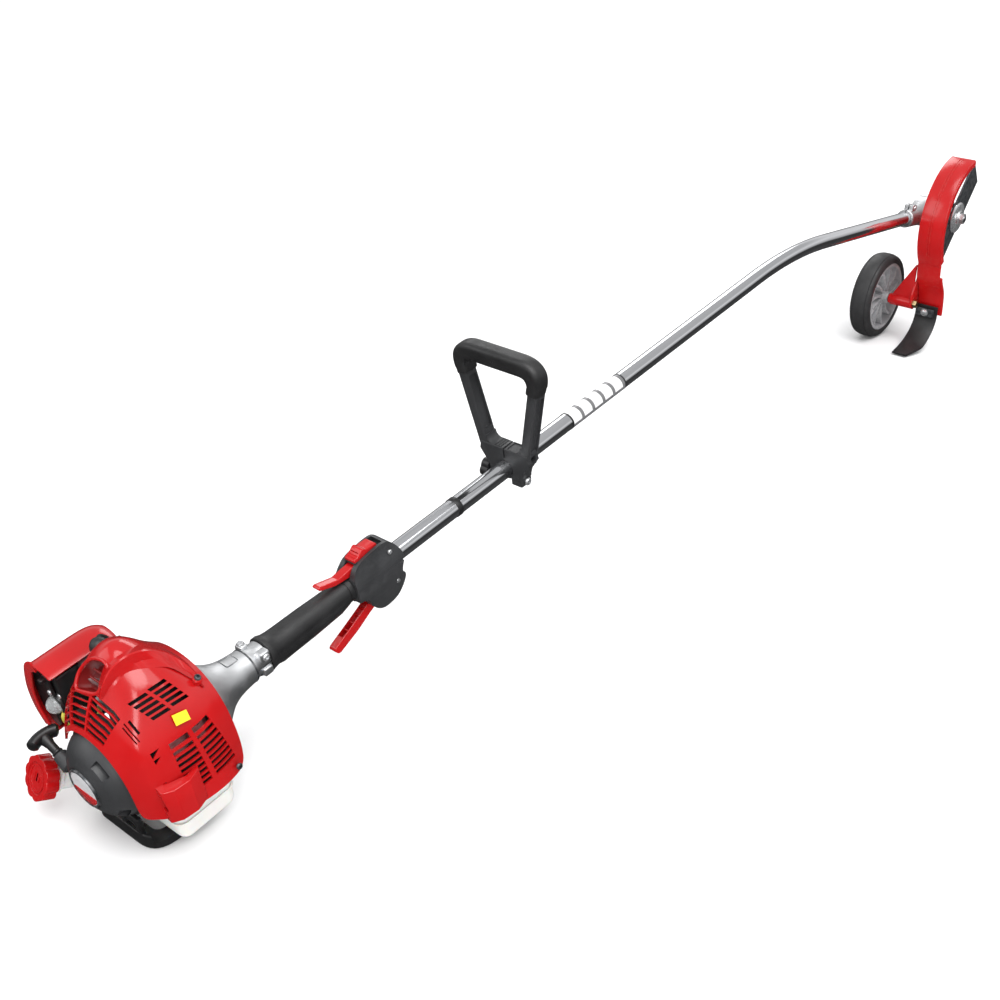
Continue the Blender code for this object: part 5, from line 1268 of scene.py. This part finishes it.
def starter():
    outer = curve([(-198, 46.0), (-203, 43.0), (-208, 39), (-212, 34.4), (-215, 29),
        (-216.8, 25.6), (-217.5, 23.6)], 5)
    profile = [(-172, 47.5), (-172, 50), (-185, 49.8), (-190, 49), (-192, 48.6), (-192.6, 47.2),
        (-194.4, 46.9), *outer, (-217.5, 22.4), (-216.6, 22.0), (-216.6, 0), (-213.8, 0),
        (-213.8, 22), (-206, 35.5), (-196, 43), (-185, 47)]
    s = lathe("starter_dome", profile, steps=128)
    mod(s, 'WELD', merge_threshold=1e-6)
    bake(s)
    tools = []
    for k, (a0, a1) in enumerate(((116, 144), (204, 230))):
        line = arc(38 + 3 * k, a0, a1, 12)
        tools.append(prism(f"dome_window_{k}", rounded(ribbon(line, 3.2), 1.0, 2), -230, -196,
            "YZ"))
    s2 = [box("case_lug_a", (-179.4, -15, -60), (-172.6, 15, -48), 1.5, 3),
        box("case_lug_b", (-179.4, 37, 27), (-172.6, 51, 39), 1.5, 3),
        box("case_lug_c", (-179.4, -51, 27), (-172.6, -37, 39), 1.5, 3),
        rod("rope_guide", ROPE + UP * 14, ROPE + UP * 32, 8.5, 7, 48, 1.4)]
    join(s, *s2)
    tools.append(rod("rope_hole", ROPE - UP * 4, ROPE + UP * 50, 3.3, sides=32, edge=0.1))
    cut(s, *tools)
    done(s, "grey", "frame", "starter_case")
    ring = lathe("starter_ring", [(-186, 49.4), (-186, 50.2), (-191.6, 49.9), (-193.4, 48.6),
        (-193.6, 46.6), (-190, 46.6)], closed=True, steps=128)
    cut(ring, rod("ring_way", ROPE + UP * 5, ROPE + UP * 60, 9.4, sides=32))
    done(ring, "black", "frame")
    done(lathe("badge_frame", [(-216.9, 19.2), (-216.9, 21.6), (-219.0, 21.3), (-219.5, 20.4),
        (-219.2, 19.2)], closed=True, steps=96), "dark", "frame")
    done(lathe("badge_plate", [(-216.5, 0), (-216.5, 19.4), (-218.4, 19.4), (-218.4, 0)],
        steps=96), "badge", "frame")
    for name, look, a0, a1 in (("field", "red", 196, 344), ("bar", "badge", 20, 160)):
        done(prism(f"badge_{name}", arc(18.3, a0, a1, 24), -219.1, -218.2, "YZ", 0.3, 2), look,
            "frame")
    # pull handle: a stem and a bowed bar
    top = ROPE + UP * 32.3
    stem = lathe("pull_stem", [(0, 0), (0, 4.4), (1, 5.4), (2.6, 5.4), (3.6, 4.4), (12, 4.6),
        (19, 6.2), (23, 7), (23, 0)], top, UP, 40)
    c = top + UP * 25
    bow = [Vector((x, 0, 0)) + UP * h + c for x, h in ((-15.5, -4.6), (-13, -3.2), (-9, -1.6),
        (-4.5, -0.6), (0, -0.3), (4.5, -0.6), (9, -1.6), (13, -3.2), (15.5, -4.6))]

    def taper(t):
        w = min(1.0, 5.0 * min(t, 1 - t) + 0.45)
        return (w, w)

    bar = sweep("pull_bar", smooth(bow, 3), [(7.8 * cos(a), 6.2 * sin(a))
        for a in [2 * pi * i / 28 for i in range(28)]], up=tuple(UP), scale=taper)
    soft(bar, 0.9, 3, 50)
    bake(bar)
    join(stem, bar)
    done(stem, "black", "starter_pull_handle", "starter_handle")


# ---- air cleaner, primer, choke -------------------------------------------------------------
def air_cleaner():
    side = [(62, 77.5), (70, 82), (89, 84), (103, 77), (113, 60), (121, 36), (121, 12), (112, -8),
        (99, -13)]
    end = [(66, 68), (72, 73), (88, 76), (99, 69), (107, 56), (113, 36), (113, 14), (107, -2),
        (99, -5)]
    rows = [[(x, y, z) for y, z in side] for x in (-187, -186, -150, -118)]
    rows.append([(-108, y, z) for y, z in end])
    c = surface("air_cover_shell", rows)
    outwards(c, (-0.15, 0.06, 0.03))
    mod(c, 'SUBSURF', levels=3, render_levels=3)
    mod(c, 'SOLIDIFY', thickness=2.4 * MM, offset=-1.0)
    bake(c)
    soft(c, 0.6, 2, 60)
    bake(c)
    cut(c, *[box(f"cover_notch_{i}", (-176 + 9 * i, 100, -6 + 2 * i),
        (-171 + 9 * i, 130, -3 + 2 * i), 0) for i in range(5)])
    wall = curve([(88, 80), (100, 73.5), (108.6, 58), (116, 35), (116, 12), (108, -6)], 6)
    rear = prism("air_rear_wall", ribbon(wall, 5.6), -187.2, -184.9, "YZ", 0.7, 3)
    join(c, rear)
    done(c, "red", "frame", "air_cleaner_cover")
    room = [(66, 70), (70, 77.5), (89, 79.8), (101, 73), (109.6, 58), (117, 36), (117, 12),
        (109, -5), (99, -8.6), (94.6, -4), (94.6, 69.6), (66, 69.6)]
    done(prism("air_room", room, -180.6, -178.8, "YZ"), "black", "frame")
    b = box("air_base_body", (-180, 68.4, -4), (-112, 94, 69), 2.6, 4)
    cut(b, box("base_hollow", (-177, 72, 12), (-115, 99, 66), 0),
        rod("base_inlet", (-138, 60, 58), (-138, 75, 58), 6.5, sides=40),
        rod("primer_well", (-190, 80, 34), (-174, 80, 34), 9.9, sides=48),
        box("base_relief", (-190, 80, -9), (-150, 100, 9), 0))
    for i in range(3):
        join(b, box(f"base_rib_{i}", (-181.6, 70 + 8 * i, 10), (-179.4, 71.6 + 8 * i, 22), 0.4))
    done(b, "black", "frame", "air_cleaner_base")
    screws("base_screw", [((-179.6, y, z), (-1, 0, 0)) for y, z in ((72.5, 46), (90, 20),
        (73, 24))], 2.9, "cross")
    bulb = curve([(0, 9.0), (2, 9.3), (5, 8.9), (8, 7.4), (10.6, 4.8), (11.8, 2.2), (12.1, 0)], 4)
    p = lathe("primer_dome", [(0, 0)] + bulb, (-180.3, 80, 34), (-1, 0, 0), 64)
    done(p, "clear", "primer", "primer_bulb")
    done(lathe("primer_collar", [(0.2, 10.0), (0.2, 12.4), (2.6, 12.1), (3.4, 11.0), (2.8, 9.95)],
        (-180.2, 80, 34), (-1, 0, 0), 64, closed=True), "black", "frame")
    lever = prism("choke_blade", rounded([(-5, -5), (5, -5), (5, 16), (3, 22), (-3, 22), (-5, 16)],
        3, 6), -184.1, -181.4, "YZ", 0.5, 3)
    lever.data.transform(Matrix.Translation(Vector((0, 80, 50)) * MM))
    join(lever, box("choke_tab", (-189.8, 77, 65), (-182, 83, 69.8), 1.0, 3))
    done(lever, "black", "choke", "choke_lever")
    done(screw("choke_screw", (-184.0, 80, 50), (-1, 0, 0), 3.0, "cross"), "zinc", "choke")
    done(hose("primer_return", [(-179.6, 72, 28), (-184, 71, 24), (-183, 72, 14), (-174, 70, 2),
        (-164, 62, -14), (-162, 60, -34)], 2.0, 8), "fuel", "frame")


def boot():
    b = hose("boot_body", [(-138, 0, 93.6), (-138, 1.2, 96.6), (-138, 6, 98), (-138, 22, 96),
        (-139, 36, 91)], 6.1, 6, 32)
    dome = lathe("boot_dome", [(0, 0), (0, 7.8), (1.2, 8.6), (4.6, 9.4), (6, 9.4), (6.8, 8.7),
        (7.6, 8.7), (8.4, 9.2), (11.6, 8.7), (14.6, 6.9), (16.8, 4.0), (17.8, 1.6), (18, 0)],
        (-140, 33, 91), (-0.1, 0.6, 0.62), 56)
    lead = hose("plug_lead", [(-113.5, 52, 14.6), (-113.5, 52, 20), (-114, 56, 44), (-117, 58, 66),
        (-122, 59, 82), (-130, 55, 93), (-138, 42, 101)], 2.4, 8)
    join(b, dome, lead)
    done(b, "rubber", "frame", "spark_plug_boot")


# ---- fuel system and stand --------------------------------------------------------------------
# the filler neck's direction, and its end
NECK = Vector((-0.86, 0.12, 0.5)).normalized()
CAP_AT = Vector((-216, 88, -42))


def fuel():
    t = box("tank_body", (-169.5, -56, -88), (-102, 96, -38), 11, 8)
    join(t, rod("neck", CAP_AT - NECK * 62, CAP_AT - NECK * 3, 14, sides=64, edge=1.5),
        lathe("neck_ring", [(-12, 10), (-12, 15.6), (-11, 16.4), (-8.6, 16.4), (-7.6, 15.6),
        (-7.6, 10)], CAP_AT, NECK, 64, closed=True))
    done(t, "white", "frame", "fuel_tank")
    seam = rounded([(-170.1, -56.6), (-101.4, -56.6), (-101.4, 96.6), (-170.1, 96.6)], 11.4, 10)
    done(sweep("tank_seam", [(x, y, -63) for x, y in seam], rounded([(-1, -1.1), (1, -1.1),
        (1, 1.1), (-1, 1.1)], 0.5, 3), closed=True), "white", "frame")
    base = CAP_AT - NECK * 3.4
    m = place(base, NECK)
    cap = prism("cap_body", lobes(23, 20.8, 10), 0, 13.5, at=m)
    soft(cap, 1.8, 4, 50)
    bake(cap)
    cut(cap, rod("cap_dish", base + NECK * 12.1, base + NECK * 16, 16.5, sides=64),
        rod("cap_room", base - NECK * 10, base + NECK * 3.4, 14.3, sides=48, edge=0.1))
    raised = [lathe("cap_ring", [(11.6, 12.4), (13.0, 12.6), (13.0, 14.2), (11.6, 14.4)], base,
        NECK, 64, closed=True)]
    for i in range(3):
        raised.append(prism(f"cap_mark_{i}", rounded([(-6 + 4.2 * i, -5 + i),
            (-4 + 4.2 * i, -5 + i), (-4 + 4.2 * i, 6 - i), (-6 + 4.2 * i, 6 - i)], 0.8, 4), 11.6,
            12.9, at=m))
    join(cap, *raised)
    done(cap, "red", "fuel_cap", "fuel_cap")
    done(hose("fuel_pipe", [(-158, 60, -37.6), (-158, 60, -20), (-156, 60, 4), (-152, 58, 20),
        (-144, 55, 28), (-142, 55, 32.5), (-142, 55, 35.5)], 2.3, 8), "fuel", "frame", "fuel_line")


def stand():
    bar = rounded([(-178, -34, 26), (-178, 58, 12), (-150, 58, 12), (-96, 40, 16), (-92, -34, 20)],
        9, 10)
    s = prism("stand_body", bar, 0, 16, "XY", 2.4, 4)
    hole = prism("stand_hole", rounded([(-162, -20), (-106, -20), (-108, 28), (-162, 42)], 12, 8),
        -5, 40, "XY")
    rel = GROUND.inverted() @ ENGINE
    keep = box("stand_room", (-186, -70, -88.3), (-80, 110, 0), 0)
    arm = box("stand_arm", (-190.4, -16, -94), (-184.7, 16, -61.2), 1.6, 3)
    slot = prism("stand_arm_hole", rounded([(-9, -78), (9, -78), (9, -70), (-9, -70)], 3.9, 6),
        -200, -180, "YZ")
    for o in (keep, arm, slot):
        o.data.transform(rel)
    cut(s, hole, keep)
    join(s, arm)
    cut(s, slot)
    done(s, "black", "frame", "tank_stand", at=GROUND)


for build in (stage, carried, drive_tube, housing, rear_grip, controls, front_handle, gear_case,
        cutter, guard, bracket, wheel, flap, engine_cover, starter, air_cleaner, boot, fuel,
        stand):
    build()


def numbers(bounds):
    """The bounds as plain lists of numbers."""
    if isinstance(bounds, dict):
        return {k: numbers(v) for k, v in bounds.items()}
    if hasattr(bounds, "__len__"):
        return [numbers(v) for v in bounds]
    return float(bounds)


{"cad": numbers(CAD_BOX), "visual": numbers(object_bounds())}
